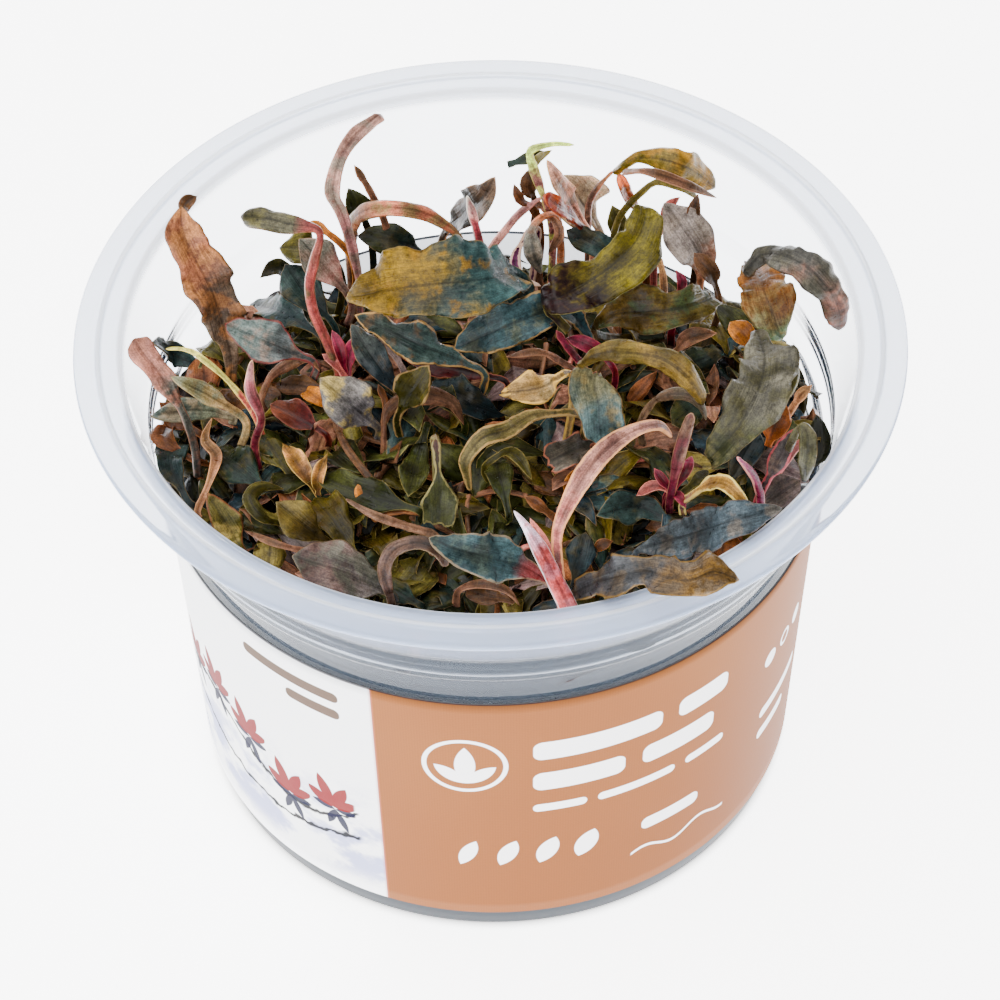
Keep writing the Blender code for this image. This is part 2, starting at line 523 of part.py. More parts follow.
def add_object(name, mesh, finish, collection):
    """A new object of the mesh, in the collection, with its material."""
    made = bpy.data.objects.new(name, mesh)
    collection.objects.link(made)
    mesh.materials.append(material(finish, finish))
    mesh.shade_smooth()
    mesh.set_sharp_from_angle(angle=math.radians(50))
    return made


def add_turned(name, profile, finish, collection):
    """A turned piece: the profile, in millimetres, swept round the vertical axis by a Screw modifier."""
    mesh = bpy.data.meshes.new(name)
    points = [(radius * MM, 0.0, height * MM) for radius, height in profile]
    closed = profile[0][0] > 0
    edges = [(i, i + 1) for i in range(len(points) - 1)]
    if closed:
        edges.append((len(points) - 1, 0))
    mesh.from_pydata(points, edges, [])
    made = add_object(name, mesh, finish, collection)
    screw = made.modifiers.new("turn", "SCREW")
    screw.steps = CUP_SEGMENTS
    screw.render_steps = CUP_SEGMENTS
    screw.use_merge_vertices = True
    screw.merge_threshold = 0.00001
    screw.use_smooth_shade = True
    return made


def cup_profile():
    """The cup's section: up the inside from the floor, over the flange, down the outside to the base."""
    top = CUP_HEIGHT
    under = top - FLANGE_THICKNESS
    outer_step = STEP_INNER_RADIUS + WALL
    inside = [
        (0.0, FLOOR_THICKNESS),
        (BODY_BOTTOM_RADIUS - WALL - FLOOR_ROUND, FLOOR_THICKNESS),
        (BODY_BOTTOM_RADIUS - WALL, FLOOR_THICKNESS + FLOOR_ROUND),
        (BODY_TOP_RADIUS - WALL, STEP_HEIGHT - STEP_ROUND),
        (STEP_INNER_RADIUS, STEP_HEIGHT),
        (STEP_INNER_RADIUS + (MOUTH_RADIUS - STEP_INNER_RADIUS) * 0.2, BAND_HEIGHT),
        (MOUTH_RADIUS, top - LIP_DROP),
        (MOUTH_RADIUS + LIP_ROUND, top - LIP_ROUND),
        (LIP_RADIUS, top),
    ]
    flange = [
        (BEAD_RADIUS - LIP_ROUND, top),
        (BEAD_RADIUS, top + BEAD_HEIGHT),
        (BEAD_RADIUS + LIP_ROUND, top),
        (FLANGE_RADIUS - FLANGE_ROUND, top),
        (FLANGE_RADIUS, top - FLANGE_ROUND),
        (FLANGE_RADIUS, under + FLANGE_ROUND),
        (FLANGE_RADIUS - FLANGE_ROUND, under),
        (LIP_RADIUS + WALL, under),
    ]
    outside = [
        (MOUTH_RADIUS + WALL, under - 2 * FLANGE_ROUND),
        (outer_step + STEP_ROUND, BAND_HEIGHT),
        (outer_step, BAND_HEIGHT - STEP_ROUND),
        (outer_step, STEP_HEIGHT - STEP_ROUND),
        (BODY_TOP_RADIUS, STEP_HEIGHT - FLOOR_ROUND),
        (BODY_BOTTOM_RADIUS, BASE_ROUND_HEIGHT),
        ((BODY_BOTTOM_RADIUS + BASE_RADIUS) / 2, BASE_ROUND_HEIGHT * 0.2),
        (BASE_RADIUS, 0.0),
        (0.0, 0.0),
    ]
    return inside + flange + outside


def body_radius(height):
    """The outer radius of the cup's tapering body at a height."""
    share = (height - BASE_ROUND_HEIGHT) / (STEP_HEIGHT - FLOOR_ROUND - BASE_ROUND_HEIGHT)
    return BODY_BOTTOM_RADIUS + (BODY_TOP_RADIUS - BODY_BOTTOM_RADIUS) * share


def label_profile():
    """The paper band's section, a thin strip that follows the body's taper."""
    low = body_radius(LABEL_BOTTOM) + GAP
    high = body_radius(LABEL_TOP) + GAP
    return [
        (high + LABEL_THICKNESS, LABEL_TOP),
        (low + LABEL_THICKNESS, LABEL_BOTTOM),
        (low, LABEL_BOTTOM),
        (high, LABEL_TOP),
    ]


def thicket_place(level, turn):
    """A point of the thicket's skin at a turn, as radius and height: its lumpy top from level 1, the middle, to
    level 0, the edge, and from there the side down to level -0.5 and the bottom to level -1.
    """
    spread = 1.0 - level if level >= 0.0 else min(1.0, 2.0 + 2.0 * level)
    edge = THICKET_REACH * min(1.0, spread)
    top = float(thicket_top(edge * math.cos(turn), edge * math.sin(turn)))
    if level >= 0.0:
        shoulder = max(0.0, spread - THICKET_SHOULDER_START) / (1.0 - THICKET_SHOULDER_START)
        return edge, top - THICKET_SHOULDER * shoulder**2
    bottom = FLOOR_THICKNESS + GAP
    share = max(0.0, 1.0 + level * 2.0)
    height = bottom + share * (top - THICKET_SIDE_DROP - bottom)
    inset = THICKET_CLEARANCE if share else THICKET_CLEARANCE + THICKET_FOOT_INSET
    return spread * (float(wall_radius(height)) - inset), height


def add_thicket(collection):
    """The thicket: a ball reshaped to fill the cup's lower part, with a lumpy top."""
    mesh = bpy.data.meshes.new("thicket")
    ball = bmesh.new()
    bmesh.ops.create_uvsphere(ball, u_segments=THICKET_SEGMENTS, v_segments=THICKET_RINGS, radius=1.0)
    for vertex in ball.verts:
        x, y, z = vertex.co
        level = round(math.asin(max(-1.0, min(1.0, z))) / (math.pi / 2), 4)
        turn = math.atan2(y, x)
        radius, height = thicket_place(level, turn)
        vertex.co = (radius * math.cos(turn) * MM, radius * math.sin(turn) * MM, height * MM)
    bmesh.ops.recalc_face_normals(ball, faces=ball.faces)
    ball.to_mesh(mesh)
    ball.free()
    return add_object("thicket", mesh, "thicket", collection)


def add_leaf(leaf, cover, placed, collection):
    """Lays one leaf over those before it and lofts its solid."""
    whole, share = settle_foot(leaf, drape(leaf, cover), placed)
    points, faces = loft(leaf, whole, share)
    placed.append(tree_of(points, faces))
    dense = smooth_path(np.column_stack([whole, share]), COVER_ALONG)
    cover.lay(leaf_surface(leaf, dense[:, :5], dense[:, 5], np.linspace(-1.0, 1.0, COVER_ACROSS)))
    mesh = bpy.data.meshes.new(leaf.name)
    mesh.from_pydata((points * MM).tolist(), [], faces)
    solid = bmesh.new()
    solid.from_mesh(mesh)
    bmesh.ops.recalc_face_normals(solid, faces=solid.faces)
    solid.to_mesh(mesh)
    solid.free()
    return add_object(leaf.name, mesh, leaf.finish, collection)


def main():
    """Clears the scene and builds the cup, its band, the thicket and the leaves, from the deepest up."""
    for old in list(bpy.data.objects):
        bpy.data.objects.remove(old, do_unlink=True)
    collection = bpy.data.collections.new("bucephalandra_cup")
    bpy.context.scene.collection.children.link(collection)
    cup = add_turned("cup", cup_profile(), "cup_plastic", collection)
    add_turned("label", label_profile(), "label_paper", collection)
    thicket = add_thicket(collection)
    cover = Cover()
    lay_cup_and_thicket(cover)
    placed = [tree_of_object(cup), tree_of_object(thicket)]
    for leaf in LEAVES:
        add_leaf(leaf, cover, placed, collection)


main()
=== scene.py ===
import logging
import math
from dataclasses import dataclass, field
from enum import Enum

import bpy
import numpy as np
from mathutils import Matrix


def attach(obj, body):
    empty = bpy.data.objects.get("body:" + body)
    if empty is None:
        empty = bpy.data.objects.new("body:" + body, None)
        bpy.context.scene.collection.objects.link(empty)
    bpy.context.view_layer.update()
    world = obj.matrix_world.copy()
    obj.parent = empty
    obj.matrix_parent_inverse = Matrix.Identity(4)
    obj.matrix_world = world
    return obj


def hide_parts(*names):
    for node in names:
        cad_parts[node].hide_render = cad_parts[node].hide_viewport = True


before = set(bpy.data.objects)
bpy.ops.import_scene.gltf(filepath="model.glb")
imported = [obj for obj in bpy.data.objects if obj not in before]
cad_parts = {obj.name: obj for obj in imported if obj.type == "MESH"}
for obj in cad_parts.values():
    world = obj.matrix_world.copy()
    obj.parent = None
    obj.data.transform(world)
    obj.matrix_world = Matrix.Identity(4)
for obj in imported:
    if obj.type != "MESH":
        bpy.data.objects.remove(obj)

LOG = logging.getLogger("bucephalandra_cup")
MM = 0.001
# The height of the highest solid in millimetres. No leaf rises past it.
TALLEST = 91.57
# How strongly the plants and the upright paper are lit, as paint_of counts it.
PLANT_LIGHT = 2.1
LABEL_LIGHT = 5.5
# The light that a surface mirrors on top of its own colour.
SHINE = 0.016
# The step between the seeds of one leaf's finish and the next, which spreads them evenly.
SEED_STEP = 0.618

Pair = tuple[float, float]
Place = tuple[float, float, float]
Rgb = tuple[float, float, float]
Rgba = tuple[float, float, float, float]


class Slot(Enum):
    """The record's material slots."""

    TEAL = "teal"
    OLIVE = "olive"
    GREEN = "green"
    GREY = "grey"
    RUST = "rust"
    OCHRE = "ochre"
    PINK = "pink"
    CRIMSON = "crimson"
    THICKET = "thicket"
    CUP = "cup_plastic"
    LABEL = "label_paper"


def paint_of(colour: Rgb, light: float = PLANT_LIGHT) -> Rgba:
    """The reflectance that the studio's light shows as a colour.

    The view transform shows a dark value nearly as its square root and holds back a bright one. So each
    channel p becomes p squared times a factor that grows near white, divided by the light that falls on
    the object, less the light that its surface mirrors.

    Args:
        colour: the red, green and blue that are to be seen, up to 255.
        light: how much light falls there.

    Returns:
        linear red, green and blue with an alpha of 1.
    """
    seen = np.asarray(colour, float) / 255
    growth = 0.85 + 0.078 * np.maximum(0.0, (1.05 - seen) ** -2 - 3.0)
    value = np.clip(seen**2 * growth / light - SHINE, 0.002, 0.93)
    return float(value[0]), float(value[1]), float(value[2]), 1.0


def unit(vectors: np.ndarray) -> np.ndarray:
    """The same vectors at length one, along the last axis."""
    return vectors / np.maximum(np.linalg.norm(vectors, axis=-1, keepdims=True), 1e-9)


def eased(places: np.ndarray, values: np.ndarray, wanted: np.ndarray) -> np.ndarray:
    """A smooth curve through values at uneven places: cubics whose slopes are the neighbours' mean slopes.

    Args:
        places: the places, rising.
        values: a row of values for each place.
        wanted: where the curve is read.

    Returns:
        a row of values for each wanted place.
    """
    step = np.diff(places)[:, None]
    slope = np.diff(values, axis=0) / step
    before, after = step[:-1], step[1:]
    inner = (slope[:-1] * after + slope[1:] * before) / (before + after)
    tangent = np.vstack([slope[:1], inner, slope[-1:]])
    cell = np.clip(np.searchsorted(places, wanted, "right") - 1, 0, len(places) - 2)
    size = step[cell]
    t = (wanted - places[cell])[:, None] / size
    ends = (2 * t**3 - 3 * t**2 + 1) * values[cell] + (3 * t**2 - 2 * t**3) * values[cell + 1]
    return ends + size * ((t**3 - 2 * t**2 + t) * tangent[cell] + (t**3 - t**2) * tangent[cell + 1])


# Shading toolkit


class Socket:
    """A node's output that takes part in Python arithmetic, each operation adding a Math node."""

    def __init__(self, graph: "Graph", output: bpy.types.NodeSocket) -> None:
        """Wraps an output of one of the graph's nodes."""
        self.graph = graph
        self.output = output

    def __add__(self, other: "Value") -> "Socket":
        """The sum."""
        return self.graph.math("ADD", self, other)

    def __sub__(self, other: "Value") -> "Socket":
        """The difference."""
        return self.graph.math("SUBTRACT", self, other)

    def __rsub__(self, other: "Value") -> "Socket":
        """The difference, the other way round."""
        return self.graph.math("SUBTRACT", other, self)

    def __mul__(self, other: "Value") -> "Socket":
        """The product."""
        return self.graph.math("MULTIPLY", self, other)

    def __truediv__(self, other: "Value") -> "Socket":
        """The quotient."""
        return self.graph.math("DIVIDE", self, other)

    def __rtruediv__(self, other: "Value") -> "Socket":
        """The quotient, the other way round."""
        return self.graph.math("DIVIDE", other, self)

    def __pow__(self, other: "Value") -> "Socket":
        """The power."""
        return self.graph.math("POWER", self, other)

    def __neg__(self) -> "Socket":
        """The negative."""
        return self.graph.math("MULTIPLY", self, -1.0)

    def __abs__(self) -> "Socket":
        """The absolute value."""
        return self.graph.math("ABSOLUTE", self)

    __radd__ = __add__
    __rmul__ = __mul__

    def least(self, other: "Value") -> "Socket":
        """The smaller of the two."""
        return self.graph.math("MINIMUM", self, other)

    def most(self, other: "Value") -> "Socket":
        """The larger of the two."""
        return self.graph.math("MAXIMUM", self, other)

    def sine(self) -> "Socket":
        """The sine."""
        return self.graph.math("SINE", self)

    def above(self, low: float, high: float) -> "Socket":
        """Rises smoothly from 0 at low to 1 at high."""
        settings = {"interpolation_type": "SMOOTHSTEP"}
        values = {"Value": self, "From Min": low, "From Max": high}
        return self.graph.node("ShaderNodeMapRange", settings, values, "Result")

    def below(self, low: float, high: float) -> "Socket":
        """Falls smoothly from 1 at low to 0 at high."""
        return 1.0 - self.above(low, high)


Value = Socket | float
Spot = tuple[Socket, Socket]


def distance_of(x: Socket, y: Socket) -> Socket:
    """The length of a line that runs x one way and y at right angles to it."""
    return (x**2.0 + y**2.0) ** 0.5


class Graph:
    """A material's node graph."""

    def __init__(self, name: str) -> None:
        """Makes an empty node material.

        Args:
            name: the material's name.
        """
        self.material = bpy.data.materials.new(name)
        self.material.use_nodes = True
        self.tree = self.material.node_tree
        self.tree.nodes.clear()

    def node(self, kind: str, settings: dict, values: dict, output: str | int = 0) -> Socket:
        """Adds one node.

        Args:
            kind: the node's type.
            settings: its properties.
            values: its inputs by name or number: a value, or a Socket to link.
            output: the output that is wanted.

        Returns:
            that output.
        """
        made = self.tree.nodes.new(kind)
        for name, value in settings.items():
            setattr(made, name, value)
        for name, value in values.items():
            if isinstance(value, Socket):
                self.tree.links.new(value.output, made.inputs[name])
            else:
                made.inputs[name].default_value = value
        return Socket(self, made.outputs[output])

    def math(self, operation: str, *values: Value) -> Socket:
        """A Math node of the values."""
        return self.node("ShaderNodeMath", {"operation": operation}, dict(enumerate(values)))

    def mix(self, share: Value, low: Socket | Rgba, high: Socket | Rgba, blend: str = "MIX") -> Socket:
        """A colour between two others.

        Args:
            share: 0 for low, 1 for high.
            low: a colour, linear red, green, blue and alpha.
            high: the other colour.
            blend: the way in which high is laid over low.

        Returns:
            the mixed colour.
        """
        settings = {"data_type": "RGBA", "blend_type": blend}
        return self.node("ShaderNodeMix", settings, {0: share, 6: low, 7: high}, 2)

    def shaded(self, colour: Socket, factor: Socket) -> Socket:
        """A colour times a factor."""
        return self.mix(1.0, colour, factor, "MULTIPLY")

    def vector(self, x: Value, y: Value, z: Value) -> Socket:
        """A vector of three values."""
        return self.node("ShaderNodeCombineXYZ", {}, {0: x, 1: y, 2: z})

    def split(self, vector: Socket) -> tuple[Socket, Socket, Socket]:
        """The three values of a vector."""
        outputs = self.node("ShaderNodeSeparateXYZ", {}, {0: vector}).output.node.outputs
        return Socket(self, outputs[0]), Socket(self, outputs[1]), Socket(self, outputs[2])

    def attribute(self, name: str, output: str = "Vector") -> Socket:
        """A mesh attribute."""
        return self.node("ShaderNodeAttribute", {"attribute_name": name}, {}, output)

    def place(self) -> Socket:
        """The place on the piece, in metres."""
        return self.node("ShaderNodeTexCoord", {}, {}, "Object")

    def noise(self, vector: Socket, scale: float, detail: float = 2.0, rough: float = 0.5) -> Socket:
        """Noise from 0 to 1 round 0.5."""
        values = {"Vector": vector, "Scale": scale, "Detail": detail, "Roughness": rough}
        return self.node("ShaderNodeTexNoise", {}, values)

    def bump(self, height: Socket, strength: float, distance: float) -> Socket:
        """A bumped normal."""
        values = {"Height": height, "Strength": strength, "Distance": distance}
        return self.node("ShaderNodeBump", {}, values)

    def principled(self, values: dict) -> Socket:
        """A Principled shader with the inputs by name."""
        return self.node("ShaderNodeBsdfPrincipled", {}, values)

    def surface(self, shader: Socket | dict) -> bpy.types.Material:
        """Ends the graph.

        Args:
            shader: a shader, or the inputs of a Principled shader by name.

        Returns:
            the finished material.
        """
        if isinstance(shader, dict):
            shader = self.principled(shader)
        end = self.tree.nodes.new("ShaderNodeOutputMaterial")
        self.tree.links.new(shader.output, end.inputs["Surface"])
        return self.material


# Meshes


def make_piece(
    name: str, points: np.ndarray, faces: list[np.ndarray], material: bpy.types.Material
) -> bpy.types.Object:
    """Makes one piece of the model, on the object's only body.

    Args:
        name: the piece's name.
        points: its vertices in millimetres.
        faces: arrays of faces, each with one number of corners, that close the surface.
        material: its material.

    Returns:
        the new object, faces outward and smooth.
    """
    points = points.reshape(-1, 3)
    volume = sum(
        np.einsum("ij,ij->", points[f[:, 0]], np.cross(points[f[:, i]], points[f[:, i + 1]]))
        for f in faces
        for i in range(1, f.shape[1] - 1)
    )
    if volume < 0:
        faces = [f[:, ::-1] for f in faces]
    corners = np.concatenate([f.ravel() for f in faces]).astype(np.int32)
    sizes = np.concatenate([np.full(len(f), f.shape[1]) for f in faces])
    starts = np.concatenate([[0], np.cumsum(sizes)[:-1]]).astype(np.int32)
    mesh = bpy.data.meshes.new(name)
    mesh.vertices.add(len(points))
    mesh.vertices.foreach_set("co", (points * MM).astype(np.float32).ravel())
    mesh.loops.add(len(corners))
    mesh.loops.foreach_set("vertex_index", corners)
    mesh.polygons.add(len(starts))
    mesh.polygons.foreach_set("loop_start", starts)
    mesh.update(calc_edges=True)
    mesh.polygons.foreach_set("use_smooth", np.ones(len(starts), bool))
    mesh.materials.append(material)
    made = bpy.data.objects.new(name, mesh)
    bpy.context.scene.collection.objects.link(made)
    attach(made, "root")
    return made


def set_attribute(made: bpy.types.Object, name: str, kind: str, values: np.ndarray) -> None:
    """Gives a mesh an attribute.

    Args:
        made: the object.
        name: the attribute's name.
        kind: FLOAT_VECTOR or FLOAT_COLOR.
        values: a row for each vertex.
    """
    attribute = made.data.attributes.new(name, kind, "POINT")
    key = "color" if kind == "FLOAT_COLOR" else "vector"
    attribute.data.foreach_set(key, values.astype(np.float32).ravel())


def ring_faces(rows: int, around: int, poles: bool) -> list[np.ndarray]:
    """The faces between rings of points that follow one another, each ring closed in itself.

    Args:
        rows: the number of rings.
        around: the number of points in a ring.
        poles: whether two last points close the first and the last ring. Without them the last ring joins
            the first.

    Returns:
        the quads, and at the poles the triangles.
    """
    low = np.arange(rows - 1 if poles else rows)[:, None] * around
    high = (low + around) % (rows * around)
    here = np.arange(around)
    there = (here + 1) % around
    faces = [np.stack([low + here, low + there, high + there, high + here], axis=-1).reshape(-1, 4)]
    if poles:
        count, last = rows * around, (rows - 1) * around
        faces.append(np.stack([there, here, np.full(around, count)], axis=1))
        faces.append(np.stack([last + here, last + there, np.full(around, count + 1)], axis=1))
    return faces


def turned(profile: np.ndarray, segments: int) -> tuple[np.ndarray, list[np.ndarray]]:
    """A closed profile swept round the vertical axis.

    Args:
        profile: radius and height of each profile point; an end on the axis becomes a pole.
        segments: the number of steps round.

    Returns:
        the vertices and the faces.
    """
    turn = np.arange(segments) * 2 * math.pi / segments
    poles = profile[0, 0] < 1e-6
    rows = profile[1:-1] if poles else profile
    ring = np.stack([np.cos(turn), np.sin(turn)], axis=1)
    heights = np.broadcast_to(rows[:, None, 1:], (len(rows), segments, 1))
    points = np.concatenate([rows[:, None, :1] * ring, heights], axis=2).reshape(-1, 3)
    if poles:
        points = np.vstack([points, [0.0, 0.0, profile[0, 1]], [0.0, 0.0, profile[-1, 1]]])
    return points, ring_faces(len(rows), segments, bool(poles))


def rounded(profile: np.ndarray, cut: float, steps: int = 4) -> np.ndarray:
    """Rounds the corners of a profile, each with a parabola.

    Args:
        profile: its points.
        cut: how far from a corner its parabola starts and ends at most.
        steps: the number of points on a parabola.

    Returns:
        the rounded profile, with the same first and last point.
    """
    before = profile[1:-1] - profile[:-2]
    after = profile[2:] - profile[1:-1]
    long_before = np.linalg.norm(before, axis=1, keepdims=True)
    long_after = np.linalg.norm(after, axis=1, keepdims=True)
    start = profile[1:-1] - before * np.minimum(0.45, cut / long_before)
    end = profile[1:-1] + after * np.minimum(0.45, cut / long_after)
    t = np.linspace(0.0, 1.0, steps)[None, :, None]
    arcs = start[:, None] * (1 - t) ** 2 + profile[1:-1, None] * 2 * t * (1 - t) + end[:, None] * t**2
    return np.vstack([profile[:1], arcs.reshape(-1, 2), profile[-1:]])


# The cup


@dataclass(frozen=True)
class Cup:
    """The clear plastic cup: a tapering body, a step, a widening mouth and a flat flange, in millimetres.

    Attributes:
        height: the flange's upper face.
        flange_radius: the flange's rim.
        mouth: the inner radius under the flange.
        lip: where the flange starts.
        bead: the radius of the flange's fine raised line.
        step: the height of the step between body and mouth.
        step_inside: the inner radius over the step.
        band: the top of the upright ring over the step.
        body_top: the body's outer radius under the step.
        body_bottom: its outer radius over the foot.
        base: the radius on which it stands.
        wall: the wall's thickness.
        segments: the number of steps round.
    """

    height: float = 71.0
    flange_radius: float = 52.5
    mouth: float = 46.3
    lip: float = 47.7
    bead: float = 49.4
    step: float = 55.2
    step_inside: float = 43.4
    band: float = 59.2
    body_top: float = 42.3
    body_bottom: float = 39.3
    base: float = 38.6
    wall: float = 0.7
    segments: int = 256

    def profile(self) -> np.ndarray:
        """The section from the middle of the floor up the inside, over the flange and down the outside.

        Returns:
            radius and height of its points.
        """
        top, under = self.height, self.height - 1.0
        outer_step = self.step_inside + self.wall
        inside = [
            (0.0, 0.8),
            (self.body_bottom - self.wall - 1.2, 0.8),
            (self.body_bottom - self.wall, 2.0),
            (self.body_top - self.wall, self.step - 0.4),
            (self.step_inside, self.step),
            (self.step_inside + (self.mouth - self.step_inside) * 0.2, self.band),
            (self.mouth, top - 1.3),
            (self.mouth + 0.4, top - 0.4),
            (self.lip, top),
        ]
        flange = [
            (self.bead - 0.4, top),
            (self.bead, top + 0.25),
            (self.bead + 0.4, top),
            (self.flange_radius - 0.3, top),
            (self.flange_radius, top - 0.3),
            (self.flange_radius, under + 0.3),
            (self.flange_radius - 0.3, under),
            (self.lip + self.wall, under),
        ]
        outside = [
            (self.mouth + self.wall, under - 0.6),
            (outer_step + 0.4, self.band),
            (outer_step, self.band - 0.4),
            (outer_step, self.step - 0.4),
            (self.body_top, self.step - 1.2),
            (self.body_bottom, 2.0),
            ((self.body_bottom + self.base) / 2, 0.4),
            (self.base, 0.0),
            (0.0, 0.0),
        ]
        return rounded(np.array(inside + flange + outside), 0.6)

    def inside(self, height: np.ndarray) -> np.ndarray:
        """The inner radius at given heights.

        Args:
            height: the heights.

        Returns:
            the radii.
        """
        places = (0.0, self.step - 0.4, self.step, self.height - 1.3)
        radii = (self.body_bottom - self.wall, self.body_top - self.wall, self.step_inside, self.mouth)
        return np.interp(height, places, radii)

    def build(self) -> None:
        """Replaces the cup's solid."""
        points, faces = turned(self.profile(), self.segments)
        made = make_piece("cup_wall", points, faces, PlasticFinish(self).material())
        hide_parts("cup")


@dataclass(frozen=True)
class PlasticFinish:
    """Hazy plastic: most light passes, and some is scattered back, most of it on the flange.

    Attributes:
        cup: the cup whose sizes it follows.
        clear: the tint of the clear wall.
        clearer: its tint where the haze is thin.
        front_shade: painted shade, a darker tint of the front wall, where the camera looks through it at
            the shaded plants.
        front_shade_low: the height in millimetres where that tint starts.
        front_shade_high: the height where it ends.
        foot: how high the foot is painted near black, a painted shade.
    """

    cup: Cup
    clear: Rgba = (0.88, 0.915, 0.97, 1.0)
    clearer: Rgba = (0.93, 0.95, 0.985, 1.0)
    front_shade: Rgba = (0.5, 0.56, 0.65, 1.0)
    front_shade_low: float = 44.0
    front_shade_high: float = 65.2
    foot: float = 4.0

    def material(self) -> bpy.types.Material:
        """Builds the material: a clear shader and a milky one, mixed by the place on the cup, with painted
        light and shade.

        Returns:
            the material.
        """
        cup = self.cup
        graph = Graph("cup_plastic")
        place = graph.place()
        x, y, z = graph.split(place)
        height, radius = z * 1000.0, distance_of(x, y) * 1000.0
        haze = graph.noise(place, 60.0, 1.0)
        turn = graph.math("ARCTAN2", y, x)
        flow = graph.noise(graph.vector(turn * 3.0, z * 240.0, 0.0), 1.0, 1.0)
        normal = graph.bump(flow, 0.1, 0.0002)
        upper = height.above(cup.height - 2.4, cup.height - 1.2)
        lower = height.below(self.foot - 0.6, self.foot)
        mouth = height.above(cup.band - 0.7, cup.band + 1.3)
        # Painted shade: between two heights the front wall's clear tint and milky colour are darker, for
        # the shaded plants behind it.
        front = y.below(-0.022, -0.004)
        front_shade_mask = height.above(self.front_shade_low, self.front_shade_low + 2.0) * front
        front_shade_mask = front_shade_mask * height.below(self.front_shade_high - 2.0, self.front_shade_high)
        # Painted highlights: near-white lines along the rounded lip of the mouth and along the flange's
        # bead.
        corner = abs(radius - cup.mouth - 0.45).below(0.1, 0.5) * upper
        ring = abs(radius - cup.bead).below(0.15, 0.45)
        lines = (ring * upper).most(corner)
        tint = graph.mix(haze, self.clear, self.clearer)
        clear = graph.principled({
            "Base Color": graph.mix(front_shade_mask * (1.0 - mouth * 0.5), tint, self.front_shade),
            "Roughness": 0.03 + haze * 0.05,
            "IOR": 1.38,
            "Specular Tint": (0.12, 0.15, 0.22, 1.0),
            "Transmission Weight": 1.0,
            "Normal": normal,
        })
        # Painted light and shade: the milky colour is dark blue-grey on the walls, lighter above the step's
        # ring, bright bluish white on the flange.
        scattered = graph.mix(mouth, (0.08, 0.11, 0.17, 1.0), (0.17, 0.23, 0.38, 1.0))
        scattered = graph.mix(front_shade_mask * (1.0 - mouth), scattered, (0.055, 0.075, 0.105, 1.0))
        scattered = graph.mix(upper, scattered, (0.62, 0.74, 0.98, 1.0))
        scattered = graph.mix(lines * 0.7, scattered, (0.95, 0.97, 1.0, 1.0))
        # Painted shade: the foot's milky colour is near black, and the foot is mostly milky.
        scattered = graph.mix(lower, scattered, (0.03, 0.036, 0.045, 1.0))
        # Painted shade: the milky colour is darker on the flange's outer edge.
        rim = radius.above(cup.flange_radius - 0.35, cup.flange_radius - 0.15)
        rim = rim * height.below(cup.height - 0.8, cup.height - 0.4)
        share = 0.05 + haze * 0.05 + upper * 0.3 + lines * 0.35 + lower * 0.8 + front_shade_mask * 0.22
        milky = graph.principled({
            "Base Color": graph.shaded(scattered, (0.9 + haze * 0.2) * (1.0 - rim * 0.45)),
            "Roughness": 0.3 + haze * 0.1,
            "Specular IOR Level": 0.1,
            "Normal": normal,
        })
        return graph.surface(graph.node("ShaderNodeMixShader", {}, {0: share, 1: clear, 2: milky}))


# The camera and the form of the planting


@dataclass(frozen=True)
class ReferenceView:
    """The camera's place. Lengths are millimetres, angles degrees, picture places run from 0 to 1000."""

    distance: float = 550.0
    elevation: float = 46.9
    roll: float = -0.9
    focal: float = 4190.0
    middle: float = 500.0
    sensor: float = 36.0
    aim: Place = (0.9, 0.0, 40.2)

    def axes(self) -> tuple[np.ndarray, np.ndarray, np.ndarray]:
        """The camera's directions.

        Returns:
            the picture's right and up, and the way back to the eye.
        """
        rise, roll = math.radians(self.elevation), math.radians(self.roll)
        back = np.array([0.0, -math.cos(rise), math.sin(rise)])
        level_up = np.array([0.0, math.sin(rise), math.cos(rise)])
        level_right = np.array([1.0, 0.0, 0.0])
        right = math.cos(roll) * level_right + math.sin(roll) * level_up
        return right, math.cos(roll) * level_up - math.sin(roll) * level_right, back

    def eye(self) -> np.ndarray:
        """The place of the eye."""
        return np.array(self.aim) + self.axes()[2] * self.distance

    def points(self, x: np.ndarray, y: np.ndarray, height: np.ndarray) -> np.ndarray:
        """The points at given heights on the lines of sight through places of the picture.

        Args:
            x: how far the places are from the picture's left side.
            y: how far they are from its top.
            height: the points' heights.

        Returns:
            the points.
        """
        right, up, back = self.axes()
        ray = ((x - self.middle)[:, None] * right + (self.middle - y)[:, None] * up) / self.focal - back
        return self.eye() + ray * ((height - self.eye()[2]) / ray[:, 2])[:, None]

    def add_camera(self) -> None:
        """Adds the scene's camera."""
        data = bpy.data.cameras.new("camera")
        data.sensor_width = self.sensor
        data.lens = self.focal * self.sensor / (2 * self.middle)
        data.clip_start = 0.01
        data.clip_end = 20.0
        camera = bpy.data.objects.new("camera", data)
        right, up, back = self.axes()
        place = Matrix(np.column_stack([right, up, back]).tolist()).to_4x4()
        place.translation = (self.eye() * MM).tolist()
        camera.matrix_world = place
        bpy.context.scene.collection.objects.link(camera)
        bpy.context.scene.camera = camera


